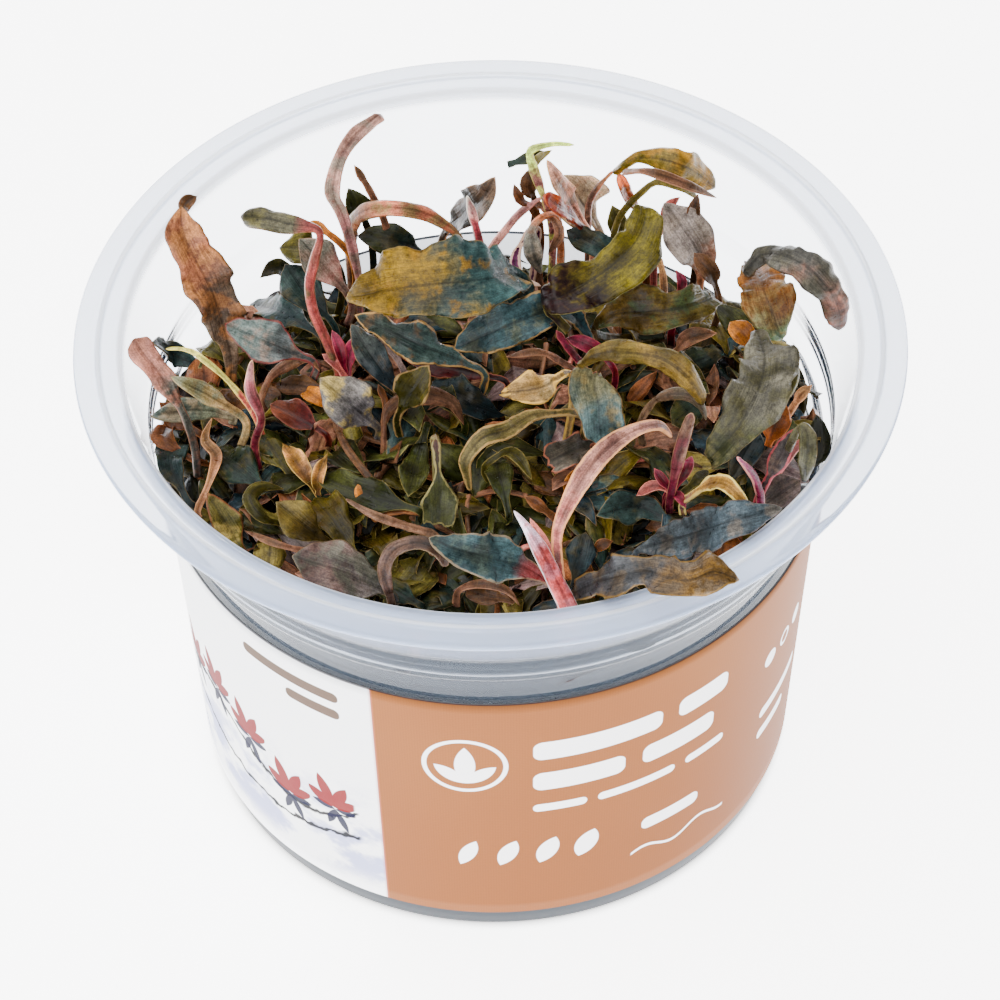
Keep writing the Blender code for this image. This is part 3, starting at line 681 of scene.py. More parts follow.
@dataclass(frozen=True)
class Bed:
    """The form of the planting under the main leaves: a low lumpy dome inside the cup, in millimetres.

    Attributes:
        cup: the cup round it.
        middle_top: the dome's height in the middle.
        edge_drop: how much lower it is at the wall.
        back_drop: how much lower it is still at the back.
        back_start: where the fall towards the back starts.
        back_end: where it ends.
        lump_height: the height of the lumps.
        lump_spacing: the distance from lump to lump.
        reach: the dome's radius.
        clearance: how far the sprigs stay off the wall.
    """

    cup: Cup = Cup()
    middle_top: float = 61.0
    edge_drop: float = 7.0
    back_drop: float = 15.0
    back_start: float = 6.0
    back_end: float = 38.0
    lump_height: float = 1.4
    lump_spacing: float = 11.0
    reach: float = 40.2
    clearance: float = 1.8

    def top(self, x: np.ndarray, y: np.ndarray) -> np.ndarray:
        """The dome's height: a fall with the cube of the radius, one towards the back, and crossed waves.

        Args:
            x: how far to the right the places are.
            y: how far back they are.

        Returns:
            the heights.
        """
        back = np.clip((y - self.back_start) / (self.back_end - self.back_start), 0.0, 1.0)
        turn = 2 * math.pi / self.lump_spacing
        lumps = np.sin(turn * x + 0.8) * np.sin(turn * 0.9 * y) + 0.6 * np.sin(turn * 0.6 * (x + y))
        dome = self.edge_drop * (np.hypot(x, y) / self.cup.mouth) ** 3 + self.back_drop * back**2
        return self.middle_top - dome + self.lump_height * lumps

    def settle(self, view: ReferenceView, route: np.ndarray) -> np.ndarray:
        """Points of a route on the lines of sight, those past the wall moved up theirs or inward.

        Args:
            view: the camera.
            route: picture x, picture y and a height for each point; under 20 it is a height over the dome.

        Returns:
            the points.
        """
        x, y, given = route.T
        over = given < 20.0
        height = np.where(over, self.middle_top - 4.0, given)
        for _ in range(30):
            points = view.points(x, y, height)
            wanted = self.top(points[:, 0], points[:, 1]) + given
            height = np.where(over, height + 0.5 * (wanted - height), height)
        for _ in range(60):
            points = view.points(x, y, height)
            past = np.hypot(points[:, 0], points[:, 1]) > self.cup.inside(height) - self.clearance
            height = height + np.where(over & past & (points[:, 1] > 0.0), 0.5, 0.0)
        points = view.points(x, y, height)
        radius = np.hypot(points[:, 0], points[:, 1])
        inward = np.minimum(1.0, (self.cup.inside(height) - self.clearance) / radius)
        points[:, :2] *= np.where(over, inward, 1.0)[:, None]
        return points


# Leaves


@dataclass(frozen=True)
class Paint:
    """The colours of a leaf as they are seen, up to 255, and how they lie on it.

    Attributes:
        slot: the material slot.
        base: the colour near the petiole.
        tip: the colour near the tip.
        patch: the colour of the mottled patches.
        margin: the colour of the thin edge.
        turn: the share of the length where base turns to tip.
        patchy: how much of the leaf the patches cover.
        edge: the width of the margin in millimetres.
        wave: the height of the edge's waves in millimetres.
        torn: how ragged the tip is, in millimetres.
        full: the width as a share of the solid's.
        lobe: how far the edge swings in and out, as a share of the half width.
    """

    slot: Slot
    base: Rgb
    tip: Rgb
    patch: Rgb
    margin: Rgb
    turn: float = 0.5
    patchy: float = 0.4
    edge: float = 0.1
    wave: float = 0.7
    torn: float = 0.0
    full: float = 1.0
    lobe: float = 0.11

    def rows(self, seed: float) -> np.ndarray:
        """The paint as the leaves' mesh holds it.

        Args:
            seed: what makes this leaf's finish differ from another's.

        Returns:
            four linear colours whose alphas hold turn, patchy, edge and the seed.
        """
        colours = np.array([paint_of(c) for c in (self.base, self.tip, self.patch, self.margin)])
        colours[:, 3] = (self.turn, self.patchy, self.edge, seed)
        return colours


@dataclass
class Spines:
    """The lines that a batch of leaves follows: arrays of leaf by station, in millimetres.

    Attributes:
        path: the midrib's points.
        left: from the midrib to the left edge.
        right: from the midrib to the right edge.
        half: half the thickness on the midrib.
        share: 0 at the blade's base and in the foot, 1 at the tip.
    """

    path: np.ndarray
    left: np.ndarray
    right: np.ndarray
    half: np.ndarray
    share: np.ndarray

    @staticmethod
    def rings_of(solid: bpy.types.Object) -> tuple[np.ndarray, np.ndarray]:
        """Reads the corners of a lofted solid: a point at the foot, then equal rings up to the tip.

        A ring is the set of corners that lie equally many edges from the foot, so the foot is the corner
        whose rings have equal sizes and lie flattest.

        Args:
            solid: the solid.

        Returns:
            the foot, and the corners as an array of ring by corner.
        """
        mesh = solid.data
        raw = np.empty(len(mesh.vertices) * 3, np.float32)
        mesh.vertices.foreach_get("co", raw)
        mesh.calc_loop_triangles()
        triangles = np.empty(len(mesh.loop_triangles) * 3, np.int32)
        mesh.loop_triangles.foreach_get("vertices", triangles)
        rounded_places = np.round(raw.reshape(-1, 3) / MM, 3)
        points, merged = np.unique(rounded_places, axis=0, return_inverse=True)
        triangles = merged.ravel()[triangles].reshape(-1, 3)
        count = len(points)
        joined = np.zeros((count, count), bool)
        for first, second in ((0, 1), (1, 2), (2, 0)):
            joined[triangles[:, first], triangles[:, second]] = True
            joined[triangles[:, second], triangles[:, first]] = True
        steps = np.where(np.eye(count, dtype=bool), 0, -1)
        corners = 6 if count % 6 == 1 and count > 60 else 4
        rings = (count - 1) // corners
        for step in range(1, rings + 1):
            reached = (steps >= 0).astype(int) @ joined.astype(int) > 0
            steps[reached & (steps < 0)] = step
        sizes = np.stack([(steps == step).sum(axis=1) for step in range(1, rings + 1)], axis=1)
        best = None
        for foot in np.flatnonzero((sizes == corners).all(axis=1)):
            order = np.argsort(steps[foot], kind="stable")[1:].reshape(rings, corners)
            loops = points[order]
            centred = loops - loops.mean(axis=1, keepdims=True)
            off = np.linalg.svd(centred, compute_uv=False)[:, -1].sum()
            if best is None or off < best[0]:
                best = (off, points[foot], loops)
        if best is None:
            raise ValueError(f"{solid.name}: its rings can't be read")
        return best[1], best[2]

    @staticmethod
    def of_solid(solid: bpy.types.Object, blade_stations: int = 9) -> "Spines":
        """The line of the leaf that a lofted solid stands for.

        In a ring of the solid's corners the outermost ones across are the edges, and the middle of the
        others is the midrib.

        Args:
            solid: the solid.
            blade_stations: how many of its rings, counted from the tip, the blade has.

        Returns:
            the line, as a batch of one.
        """
        apex, loops = Spines.rings_of(solid)
        rings, corners = loops.shape[:2]
        centre = np.vstack([apex, loops.mean(axis=1)])
        along = unit(np.gradient(centre, axis=0))[1:]
        facing = unit(0.7 * unit(ReferenceView().eye() - centre[1:]) + 0.3 * np.array([0.0, 0.0, 1.0]))
        side = unit(np.cross(along, facing))
        across = np.einsum("rcj,rj->rc", loops - centre[1:, None], side)
        order = np.argsort(across, axis=1)
        rows = np.arange(rings)
        left, right = loops[rows, order[:, 0]], loops[rows, order[:, -1]]
        if corners == 4:
            low, high = loops[rows, order[:, 1]], loops[rows, order[:, 2]]
            path = (low + high) / 2
            half = np.linalg.norm(high - low, axis=1) / 2
        else:
            path = centre[1:]
            half = np.linalg.norm(right - left, axis=1) / 2
        left, right = left - path, right - path
        foot_share = np.zeros(rings + 1 - blade_stations)
        share = np.concatenate([foot_share, np.linspace(0.0, 1.0, blade_stations)])
        return Spines(
            np.vstack([apex, path])[None],
            np.vstack([left[:1], left])[None],
            np.vstack([right[:1], right])[None],
            np.concatenate([half[:1], half])[None],
            share[None],
        )

    @staticmethod
    def along_route(
        points: np.ndarray, width: float, widest: float, petiole: float, fold: float, footed: bool
    ) -> "Spines":
        """The line of a small leaf through some points.

        Args:
            points: the points from the blade's base to its tip.
            width: the blade's width.
            widest: the share of the blade where it is widest.
            petiole: the share of the length that is bare stem.
            fold: how far the halves are folded up, in degrees.
            footed: whether a stem runs down from the base into the bed.

        Returns:
            the line, as a batch of one.
        """
        bed = Bed()
        base = points[0]
        radius = max(1.0, math.hypot(base[0], base[1]))
        inside = base[:2] * min(1.0, 37.0 / radius) * 0.97
        ground = float(bed.top(*inside)) - 2.5
        foot = np.array([inside[0], inside[1], min(ground, base[2] - 1.0)])
        bend = base + unit(base - points[1]) * 0.4 * np.linalg.norm(base - foot)
        t = np.linspace(0.0, 1.0, 4, endpoint=False)[:, None]
        lower = foot * (1 - t) ** 2 + bend * 2 * t * (1 - t) + base * t**2
        knots = np.concatenate([[0.0], np.cumsum(np.linalg.norm(np.diff(points, axis=0), axis=1))])
        upper = eased(knots, points, np.linspace(0.0, knots[-1], 12))
        path = np.vstack([lower, upper]) if footed else upper
        share = np.concatenate([np.zeros(len(path) - 12), np.linspace(0.0, 1.0, 12)])
        blade = np.clip((share - petiole) / (1.0 - petiole), 0.0, 1.0)
        swell = np.sin(math.pi * blade ** (math.log(0.5) / math.log(widest))) ** 0.8
        stem = min(1.0, width) / 2 * np.clip(1.0 - blade * 1.4, 0.15, 1.0)
        half_width = np.maximum(width / 2 * swell, stem)
        along = unit(np.gradient(path, axis=0))
        facing = unit(0.6 * unit(ReferenceView().eye() - path) + 0.4 * np.array([0.0, 0.0, 1.0]))
        side = unit(np.cross(along, facing))
        normal = np.cross(side, along)
        lift = normal * (half_width * math.sin(math.radians(fold)))[:, None]
        out = side * (half_width * math.cos(math.radians(fold)))[:, None]
        half = np.minimum(half_width * 0.8, 0.2)
        return Spines(path[None], (lift - out)[None], (lift + out)[None], half[None], share[None])

    def refined(self, stations: int, full: float = 1.0) -> "Spines":
        """The same single leaf with more stations, its end rounded off unless it ends wide.

        Args:
            stations: how many stations it gets.
            full: the blade's new width as a share of the old.

        Returns:
            the line, as a batch of one.
        """
        path = self.path[0]
        places = np.concatenate([[0.0], np.cumsum(np.linalg.norm(np.diff(path, axis=0), axis=1))])
        half, share = self.half[0][:, None], self.share[0][:, None]
        columns = np.hstack([path, self.left[0], self.right[0], half, share])
        wanted = np.linspace(0.0, places[-1], stations)
        read = eased(places, columns, wanted)
        wide = np.linalg.norm(read[-1, 3:6]) > 1.0
        left_over = np.clip((places[-1] - wanted) / 0.7 + 0.06, 0.0, 1.0) ** 0.5
        taper = np.ones(stations) if wide else left_over
        widen = (taper * (1.0 + (full - 1.0) * np.clip(read[:, 10] * 4.0, 0.0, 1.0)))[:, None]
        return Spines(
            read[None, :, :3],
            (read[:, 3:6] * widen)[None],
            (read[:, 6:9] * widen)[None],
            (read[:, 9] * taper)[None],
            np.clip(read[:, 10], 0.0, 1.0)[None],
        )


class Foliage:
    """A mesh of leaf blades, collected batch by batch. A blade's stations are closed loops of points."""

    def __init__(self, across: int, seed: int) -> None:
        """Starts an empty mesh.

        Args:
            across: the number of points across each face of a blade.
            seed: what its random numbers start from.
        """
        self.across = np.linspace(-1.0, 1.0, across)
        self.around = np.concatenate([self.across, self.across[-2:0:-1]])
        self.top = np.concatenate([np.ones(across), -np.ones(across - 2)])
        self.random = np.random.default_rng(seed)
        self.points: list[np.ndarray] = []
        self.faces: list[np.ndarray] = []
        self.places: list[np.ndarray] = []
        self.sizes: list[np.ndarray] = []
        self.colours: list[np.ndarray] = []
        self.count = 0

    def add(
        self, spines: Spines, colours: np.ndarray, wave: np.ndarray, torn: float = 0.0, lobe: float = 0.05
    ) -> None:
        """Adds a batch of blades.

        The blade runs from the midrib towards each edge in proportion to the distance across, its rise to
        the edge growing as the 1.6th power, with a hump on each half, a groove at the midrib, waves that
        grow towards the edge, and an elliptical thickness. The edges swing in and out along the blade.

        Args:
            spines: the lines that the blades follow.
            colours: four colours for each blade.
            wave: the height of each blade's edge waves in millimetres.
            torn: how ragged the tips are, in millimetres.
            lobe: how far the edges swing in and out, as a share of the half width.
        """
        leaves, stations = spines.half.shape
        u = self.around[None, None]
        size = np.abs(u)
        along = unit(np.gradient(spines.path, axis=1))
        side = unit(spines.right - spines.left)
        normal = unit(np.cross(side, along))
        edge = np.where((u < 0)[..., None], spines.left[:, :, None], spines.right[:, :, None])
        rise = np.einsum("lskj,lsj->lsk", edge, normal)
        flat = edge - rise[..., None] * normal[:, :, None]
        half_width = np.linalg.norm(flat, axis=-1)
        steps = np.linalg.norm(np.diff(spines.path, axis=1), axis=-1)
        run = np.concatenate([np.zeros((leaves, 1)), np.cumsum(steps, axis=1)], axis=1)
        blade = np.clip((half_width - 0.5) / 1.5, 0.0, 1.0)
        phase = self.random.uniform(0.0, 2 * math.pi, (leaves, 1, 1, 4))
        pace = self.random.uniform(0.75, 1.3, (leaves, 1, 1, 2))
        distance = run[:, :, None]
        right_side = u > 0
        first = np.sin(distance * pace[..., 0] * 0.95 + np.where(right_side, phase[..., 0], phase[..., 1]))
        second = np.sin(distance * pace[..., 1] * 2.3 + np.where(right_side, phase[..., 2], phase[..., 3]))
        ripple = wave[:, None, None] * (first + 0.3 * second) * size**2
        hump = 0.16 * half_width * size * (1.0 - size)
        groove = 0.13 * np.exp(-((size * half_width / 0.4) ** 2))
        height = rise * size**1.6 + blade * (ripple + hump - groove)
        middle = spines.path[:, :, None] + size[..., None] * flat + height[..., None] * normal[:, :, None]
        swing = np.sin(distance * 0.8 * pace[..., 1] + phase[..., 3])
        spread = 1.0 + blade * size * (0.03 * second + lobe * swing)
        middle = spines.path[:, :, None] + (middle - spines.path[:, :, None]) * spread[..., None]
        if torn:
            teeth = np.sin(u * 9.0 + phase[..., 0]) + 0.7 * np.sin(u * 21.0 + phase[..., 1])
            near_tip = np.clip((spines.share - 0.8) / 0.2, 0.0, 1.0)[:, :, None]
            middle = middle + (torn * teeth * near_tip)[..., None] * along[:, :, None]
        thick = spines.half[:, :, None] * np.sqrt(np.clip(1.0 - size**2, 0.0, 1.0)) * self.top
        points = middle + thick[..., None] * normal[:, :, None]
        ones = np.ones_like(half_width)
        under = np.where(self.top < 0, 1.0, 0.0) * ones
        share = spines.share[:, :, None] * ones
        base_run = np.max(np.where(spines.share <= 0.0, run, 0.0), axis=1)
        left_over = (run[:, -1:] - run)[:, :, None]
        rim = np.minimum(half_width * (1.0 - size), left_over)
        self.points.append(points.reshape(-1, 3))
        self.places.append(np.stack([u * ones, share, under], axis=-1).reshape(-1, 3))
        lengths = np.stack([u * half_width, (distance - base_run[:, None, None]) * ones, rim], axis=-1)
        self.sizes.append(lengths.reshape(-1, 3))
        per_leaf = stations * len(self.around)
        self.colours.append(np.repeat(colours, per_leaf, axis=0))
        self.add_faces(leaves, stations)

    def add_faces(self, leaves: int, stations: int) -> None:
        """Adds the faces of a batch: quads between stations, and strips that close both ends.

        Args:
            leaves: the number of blades.
            stations: the number of stations of each.
        """
        loop, across = len(self.around), len(self.across)
        walls = ring_faces(stations, loop, True)[0]
        upper = np.arange(1, across - 1)
        lower = loop - upper
        strip = np.stack([upper[:-1], upper[1:], lower[1:], lower[:-1]], axis=1)
        last = (stations - 1) * loop
        quads = np.vstack([walls, strip[:, ::-1], strip + last])
        ends = np.array([[0, upper[0], lower[0]], [across - 1, lower[-1], upper[-1]]])
        caps = np.vstack([ends[:, ::-1], ends + last])
        offset = self.count + (np.arange(leaves) * stations * loop)[:, None, None]
        self.faces.append((quads[None] + offset).reshape(-1, 4))
        self.faces.append((caps[None] + offset).reshape(-1, 3))
        self.count += leaves * stations * loop

    def build(self, name: str, material: bpy.types.Material, slot: Slot) -> bpy.types.Object:
        """Makes the piece.

        Args:
            name: its name.
            material: its material.
            slot: its material slot; not used.

        Returns:
            the new object with the attributes that the leaf finish reads.
        """
        points = np.vstack(self.points)
        points[:, 2] = np.minimum(points[:, 2], TALLEST)
        made = make_piece(name, points, self.faces, material)
        set_attribute(made, "leaf_uv", "FLOAT_VECTOR", np.vstack(self.places))
        set_attribute(made, "leaf_mm", "FLOAT_VECTOR", np.vstack(self.sizes))
        colours = np.concatenate(self.colours)
        for index, key in enumerate(("base", "tip", "patch", "margin")):
            set_attribute(made, key, "FLOAT_COLOR", colours[:, index])
        return made


@dataclass(frozen=True)
class LeafFinish:
    """The leaves' surface: blended, blotched and veined, with a pale margin, a warmer underside and painted
    shade.

    Attributes:
        slot: the material slot.
        roughness: how rough it is between the mottles.
        veins: how much lighter and darker the veins make it.
        shine: how strongly it mirrors.
    """

    slot: Slot
    roughness: float = 0.34
    veins: float = 0.27
    shine: float = 0.16

    def material(self) -> bpy.types.Material:
        """Builds the material from the mesh's attributes.

        Returns:
            the material.
        """
        graph = Graph(f"leaf_{self.slot.value}")
        place = graph.place()
        u, v, under = graph.split(graph.attribute("leaf_uv"))
        across, along, rim = graph.split(graph.attribute("leaf_mm"))
        base, turn = graph.attribute("base", "Color"), graph.attribute("base", "Alpha")
        tip, patchy = graph.attribute("tip", "Color"), graph.attribute("tip", "Alpha")
        patch, edge = graph.attribute("patch", "Color"), graph.attribute("patch", "Alpha")
        margin, seed = graph.attribute("margin", "Color"), graph.attribute("margin", "Alpha")
        blotch = graph.noise(place, 230.0, 0.0)
        cloud = graph.noise(place, 380.0, 0.0)
        mottle = graph.noise(place, 1150.0, 1.0, 0.6)
        grain = graph.noise(place, 5200.0, 0.0)
        streak = graph.noise(graph.vector(u * 7.0 + seed * 40.0, v * 2.4, seed * 13.0), 1.0, 1.0, 0.6)
        fine = graph.noise(graph.vector(across * 6.0 + seed * 90.0, along * 0.35, seed * 7.0), 1.0, 0.0)
        turned_share = (v + (blotch - 0.5) * 0.6 + (mottle - 0.5) * 0.25 - turn).above(-0.22, 0.22)
        colour = graph.mix(turned_share, base, tip)
        cover = (mottle * 0.4 + cloud * 0.6 + patchy * 0.3 - 0.64).above(-0.06, 0.1)
        colour = graph.mix(cover * 0.85, colour, patch)
        lines = fine.above(0.3, 0.7) * 0.6 + streak.above(0.35, 0.65) * 0.4
        shade = (1.0 - self.veins + lines * (2.0 * self.veins)) * (0.64 + blotch.above(0.3, 0.7) * 0.72)
        shade = shade * (0.68 + mottle.above(0.3, 0.7) * 0.64) * (0.76 + grain.above(0.25, 0.75) * 0.48)
        # Painted shade: darker along the midrib and lighter towards the edges, as on a cupped leaf.
        shade = shade * (0.8 + abs(u) ** 1.5 * 0.5)
        # Painted shade: a darker line in the midrib's groove.
        rib = abs(across).below(0.06, 0.24) * rim.above(0.1, 0.9)
        colour = graph.shaded(colour, shade * (1.0 - rib * 0.4))
        rim_share = (edge * (0.2 + mottle * 1.4) - rim).above(-0.04, 0.05) * 0.7
        colour = graph.mix(rim_share, colour, margin)
        warm = graph.mix(0.6, colour, (0.12, 0.05, 0.03, 1.0))
        colour = graph.mix(under * 0.75, colour, warm)
        # Painted shade: half as bright 12 mm down the stem, rising to full at the blade's base, inside the
        # clump.
        colour = graph.shaded(colour, 0.5 + along.above(-12.0, 0.5) * 0.5)
        values = {
            "Base Color": colour,
            "Roughness": self.roughness + (mottle - 0.5) * 0.4,
            "Specular IOR Level": self.shine,
            "Normal": graph.bump(fine * 0.4 + mottle * 0.8, 0.7, 0.00022),
        }
        return graph.surface(values)


TEAL, OLIVE, GREEN, GREY = Slot.TEAL, Slot.OLIVE, Slot.GREEN, Slot.GREY
RUST, OCHRE, PINK, CRIMSON = Slot.RUST, Slot.OCHRE, Slot.PINK, Slot.CRIMSON

# Base, tip, patches and margin of each main leaf, by the name of its solid.
PAINTS = {
    "leaf_rust_tall": Paint(
        RUST, (138, 119, 100), (170, 123, 92), (176, 133, 86), (152, 133, 90), 0.42, wave=0.8, lobe=0.12
    ),
    "leaf_upper_left": Paint(
        OLIVE, (189, 110, 103), (106, 102, 83), (114, 108, 75), (188, 157, 125), 0.62, 0.3, lobe=0.1
    ),
    "leaf_rolled_tall": Paint(
        RUST, (200, 163, 160), (183, 153, 140), (148, 139, 127), (200, 165, 133), 0.5, 0.35, full=1.25
    ),
    "leaf_arched_orange": Paint(
        RUST, (192, 153, 124), (202, 149, 120), (156, 141, 98), (176, 151, 98), wave=0.3, lobe=0.05
    ),
    "leaf_back_dark_olive": Paint(
        OLIVE, (116, 99, 86), (141, 119, 99), (91, 89, 84), (208, 186, 159), 0.7, full=1.35, lobe=0.12
    ),
    "shoot_back_pink": Paint(
        PINK, (213, 134, 146), (239, 210, 202), (177, 116, 126), (239, 225, 215), 0.6, 0.3
    ),
    "leaf_grey_pink": Paint(
        GREY, (185, 149, 138), (138, 136, 124), (150, 132, 118), (185, 161, 133), full=1.3
    ),
    "leaf_red_margin": Paint(
        TEAL, (125, 130, 129), (133, 146, 141), (150, 133, 121), (172, 89, 81),
        0.5, 0.35, 0.3, full=1.35, wave=0.7
    ),
    "leaf_big_olive": Paint(
        OLIVE, (79, 104, 103), (144, 119, 49), (148, 117, 57), (167, 150, 102), 0.52, 0.15, 0.12
    ),
    "leaf_centre_teal": Paint(TEAL, (67, 77, 82), (85, 91, 87), (90, 73, 52), (182, 151, 113), 0.5, 0.3),
    "leaf_wavy_teal": Paint(
        TEAL, (92, 113, 109), (82, 93, 86), (111, 87, 64), (203, 179, 121),
        0.5, 0.3, 0.25, wave=1.3, lobe=0.16
    ),
    "leaf_left_dark_green": Paint(
        TEAL, (161, 165, 144), (138, 151, 142), (176, 165, 142), (160, 145, 113), 0.4
    ),
    "leaf_rust_left": Paint(
        RUST, (132, 129, 119), (187, 146, 131), (172, 129, 109), (194, 151, 113),
        0.45, wave=0.9, lobe=0.16
    ),
    "leaf_left_olive": Paint(
        OLIVE, (200, 183, 142), (172, 165, 127), (145, 148, 127), (190, 171, 126), 0.5, 0.45
    ),
    "leaf_narrow_green": Paint(
        GREEN, (218, 156, 142), (208, 204, 137), (213, 211, 147), (217, 210, 153), 0.25
    ),
    "shoot_left_pink": Paint(CRIMSON, (147, 63, 76), (187, 143, 141), (172, 98, 106), (219, 203, 181)),
    "leaf_hanging_dark": Paint(
        TEAL, (240, 180, 136), (145, 141, 130), (159, 147, 131), (131, 113, 100), 0.2, 0.3
    ),
    "shoot_crimson_curl": Paint(
        CRIMSON, (124, 50, 99), (164, 120, 154), (139, 70, 114), (215, 203, 190), 0.6, 0.4, 0.4
    ),
    "leaf_mid_teal": Paint(
        TEAL, (69, 97, 104), (77, 97, 100), (93, 96, 82), (186, 160, 102),
        0.5, 0.3, 0.25, wave=1.0, lobe=0.14
    ),
    "leaf_back_cap": Paint(
        OLIVE, (144, 127, 59), (147, 127, 71), (161, 127, 56), (177, 155, 82), 0.5, 0.5
    ),
    "leaf_yellow_tip": Paint(
        GREEN, (203, 167, 160), (207, 215, 148), (217, 221, 160), (209, 205, 137), 0.55
    ),
    "leaf_tan_upright": Paint(RUST, (217, 188, 170), (209, 183, 166), (179, 158, 138), (216, 198, 153)),
    "leaf_back_greybrown": Paint(
        GREY, (210, 195, 176), (214, 200, 180), (186, 175, 154), (196, 175, 147), 0.5, 0.45, full=1.4
    ),
    "sheath_orange": Paint(RUST, (157, 64, 18), (169, 86, 23), (134, 41, 18), (198, 132, 93)),
    "stem_mid_pink": Paint(PINK, (218, 193, 185), (210, 183, 178), (180, 137, 139), (218, 187, 175)),
    "stem_back_dark": Paint(
        CRIMSON, (152, 126, 113), (240, 191, 152), (172, 141, 122), (210, 163, 127), 0.75, 0.3
    ),
    "sheath_back_brown": Paint(RUST, (161, 109, 56), (211, 147, 98), (176, 121, 68), (194, 145, 113)),
    "leaf_back_lilac": Paint(
        GREY, (189, 147, 113), (179, 170, 163), (161, 150, 139), (180, 163, 150), 0.3, full=1.35
    ),
    "leaf_big_green": Paint(
        GREEN, (63, 46, 19), (125, 114, 27), (91, 82, 27), (161, 153, 101), 0.5, 0.3, wave=0.7, lobe=0.1
    ),
    "leaf_olive_teal": Paint(
        OLIVE, (96, 79, 41), (108, 95, 59), (70, 81, 63), (155, 134, 104), 0.7, wave=0.6, lobe=0.1
    ),
    "leaf_arch_ochre": Paint(
        OCHRE, (138, 117, 66), (142, 120, 68), (115, 100, 63), (174, 158, 81), lobe=0.2, wave=0.9
    ),
    "leaf_rust_oval": Paint(
        RUST, (160, 112, 63), (118, 136, 103), (146, 122, 79), (160, 145, 91), 0.78, 0.25
    ),
    "leaf_arch_grey": Paint(
        GREY, (114, 111, 103), (169, 107, 79), (98, 95, 83), (110, 92, 74), 0.8, 0.35, wave=0.7, lobe=0.14
    ),
    "leaf_speckled_big": Paint(
        GREY, (129, 125, 109), (73, 75, 59), (99, 95, 71), (153, 141, 107), 0.8, 0.35
    ),
    "leaf_arch_brown": Paint(GREY, (157, 132, 107), (141, 125, 107), (121, 108, 87), (169, 148, 103)),
    "leaf_torn_square": Paint(
        TEAL, (104, 126, 125), (130, 126, 95), (138, 124, 85), (193, 163, 105), 0.7, 0.35, 0.12, torn=0.35
    ),
    "leaf_torn_amber": Paint(
        OCHRE, (198, 183, 143), (193, 171, 118), (176, 149, 89), (221, 203, 133),
        0.5, 0.5, 0.3, wave=1.2, lobe=0.25, torn=0.6
    ),
    "strap_ochre": Paint(
        OCHRE, (141, 127, 85), (129, 117, 77), (107, 99, 63), (193, 171, 122),
        0.5, 0.35, 0.3, full=1.2, wave=1.0, lobe=0.2
    ),
    "leaf_veined_brown": Paint(
        GREY, (114, 102, 91), (118, 109, 97), (93, 89, 77), (191, 137, 107),
        0.5, 0.4, 0.25, torn=0.2, wave=1.2, lobe=0.2
    ),
    "strap_pink_long": Paint(
        PINK, (199, 138, 131), (191, 158, 145), (159, 122, 113), (215, 189, 145),
        0.4, 0.3, 0.3, wave=0.15, lobe=0.02
    ),
    "shoot_crimson_right": Paint(
        CRIMSON, (138, 60, 77), (170, 142, 123), (143, 79, 88), (202, 176, 145), 0.62
    ),
    "leaf_yellow_curl": Paint(
        OCHRE, (183, 150, 151), (200, 174, 101), (183, 152, 84), (229, 212, 162), 0.35, 0.35, 0.3
    ),
    "shoot_magenta": Paint(
        CRIMSON, (162, 42, 85), (190, 132, 160), (172, 77, 115), (221, 195, 185), 0.6, 0.3
    ),
    "leaf_pink_margin": Paint(
        OLIVE, (108, 98, 97), (114, 104, 101), (126, 108, 97), (206, 121, 129), 0.5, 0.35, 0.3
    ),
    "leaf_hooked_olive": Paint(OLIVE, (124, 116, 88), (116, 112, 86), (104, 102, 78), (134, 115, 75)),
    "leaf_front_right": Paint(
        TEAL, (99, 105, 108), (95, 107, 114), (119, 111, 102), (150, 129, 109), 0.4, 0.15
    ),
    "leaf_over_rim": Paint(
        RUST, (94, 95, 97), (130, 101, 63), (108, 95, 81), (157, 128, 67),
        0.72, 0.4, 0.25, lobe=0.22, full=1.05, wave=0.9
    ),
    "shoot_front_pink": Paint(
        PINK, (196, 106, 102), (222, 213, 228), (189, 128, 136), (233, 219, 221), 0.62, 0.35
    ),
    "leaf_front_teal": Paint(
        TEAL, (200, 117, 114), (84, 107, 110), (96, 109, 100), (178, 161, 133),
        0.16, 0.3, 0.28, wave=1.0, lobe=0.14
    ),
    "leaf_front_greybrown": Paint(
        GREY, (125, 120, 113), (141, 118, 109), (109, 108, 95), (159, 137, 103), 0.5, 0.45, full=1.35
    ),
    "leaf_ring_brown": Paint(
        RUST, (122, 97, 87), (126, 101, 89), (99, 77, 65), (154, 134, 101), 0.5, 0.35, full=1.5
    ),
    "stem_front_brown": Paint(RUST, (172, 139, 112), (167, 133, 107), (142, 115, 93), (173, 140, 111)),
    "leaf_speckled_small": Paint(
        GREY, (119, 85, 76), (91, 93, 71), (76, 77, 57), (180, 172, 126),
        0.35, 0.45, 0.3, torn=0.15, full=1.1, lobe=0.25, wave=1.1
    ),
    "leaf_olive_tip": Paint(
        OLIVE, (84, 81, 19), (92, 85, 23), (70, 67, 19), (185, 162, 117),
        0.5, 0.35, 0.25, full=1.2, lobe=0.2, wave=0.9
    ),
    "leaf_grey_purple": Paint(
        GREY, (140, 135, 136), (146, 141, 136), (178, 163, 100), (162, 145, 136), 0.5, 0.3, full=1.4
    ),
    "leaf_front_left": Paint(
        OLIVE, (99, 83, 45), (128, 111, 65), (110, 91, 58), (151, 138, 87), 0.5, 0.45
    ),
    "leaf_veined_olive": Paint(
        OLIVE, (139, 130, 68), (145, 134, 78), (192, 177, 116), (161, 97, 78), 0.5, 0.3, 0.3
    ),
}


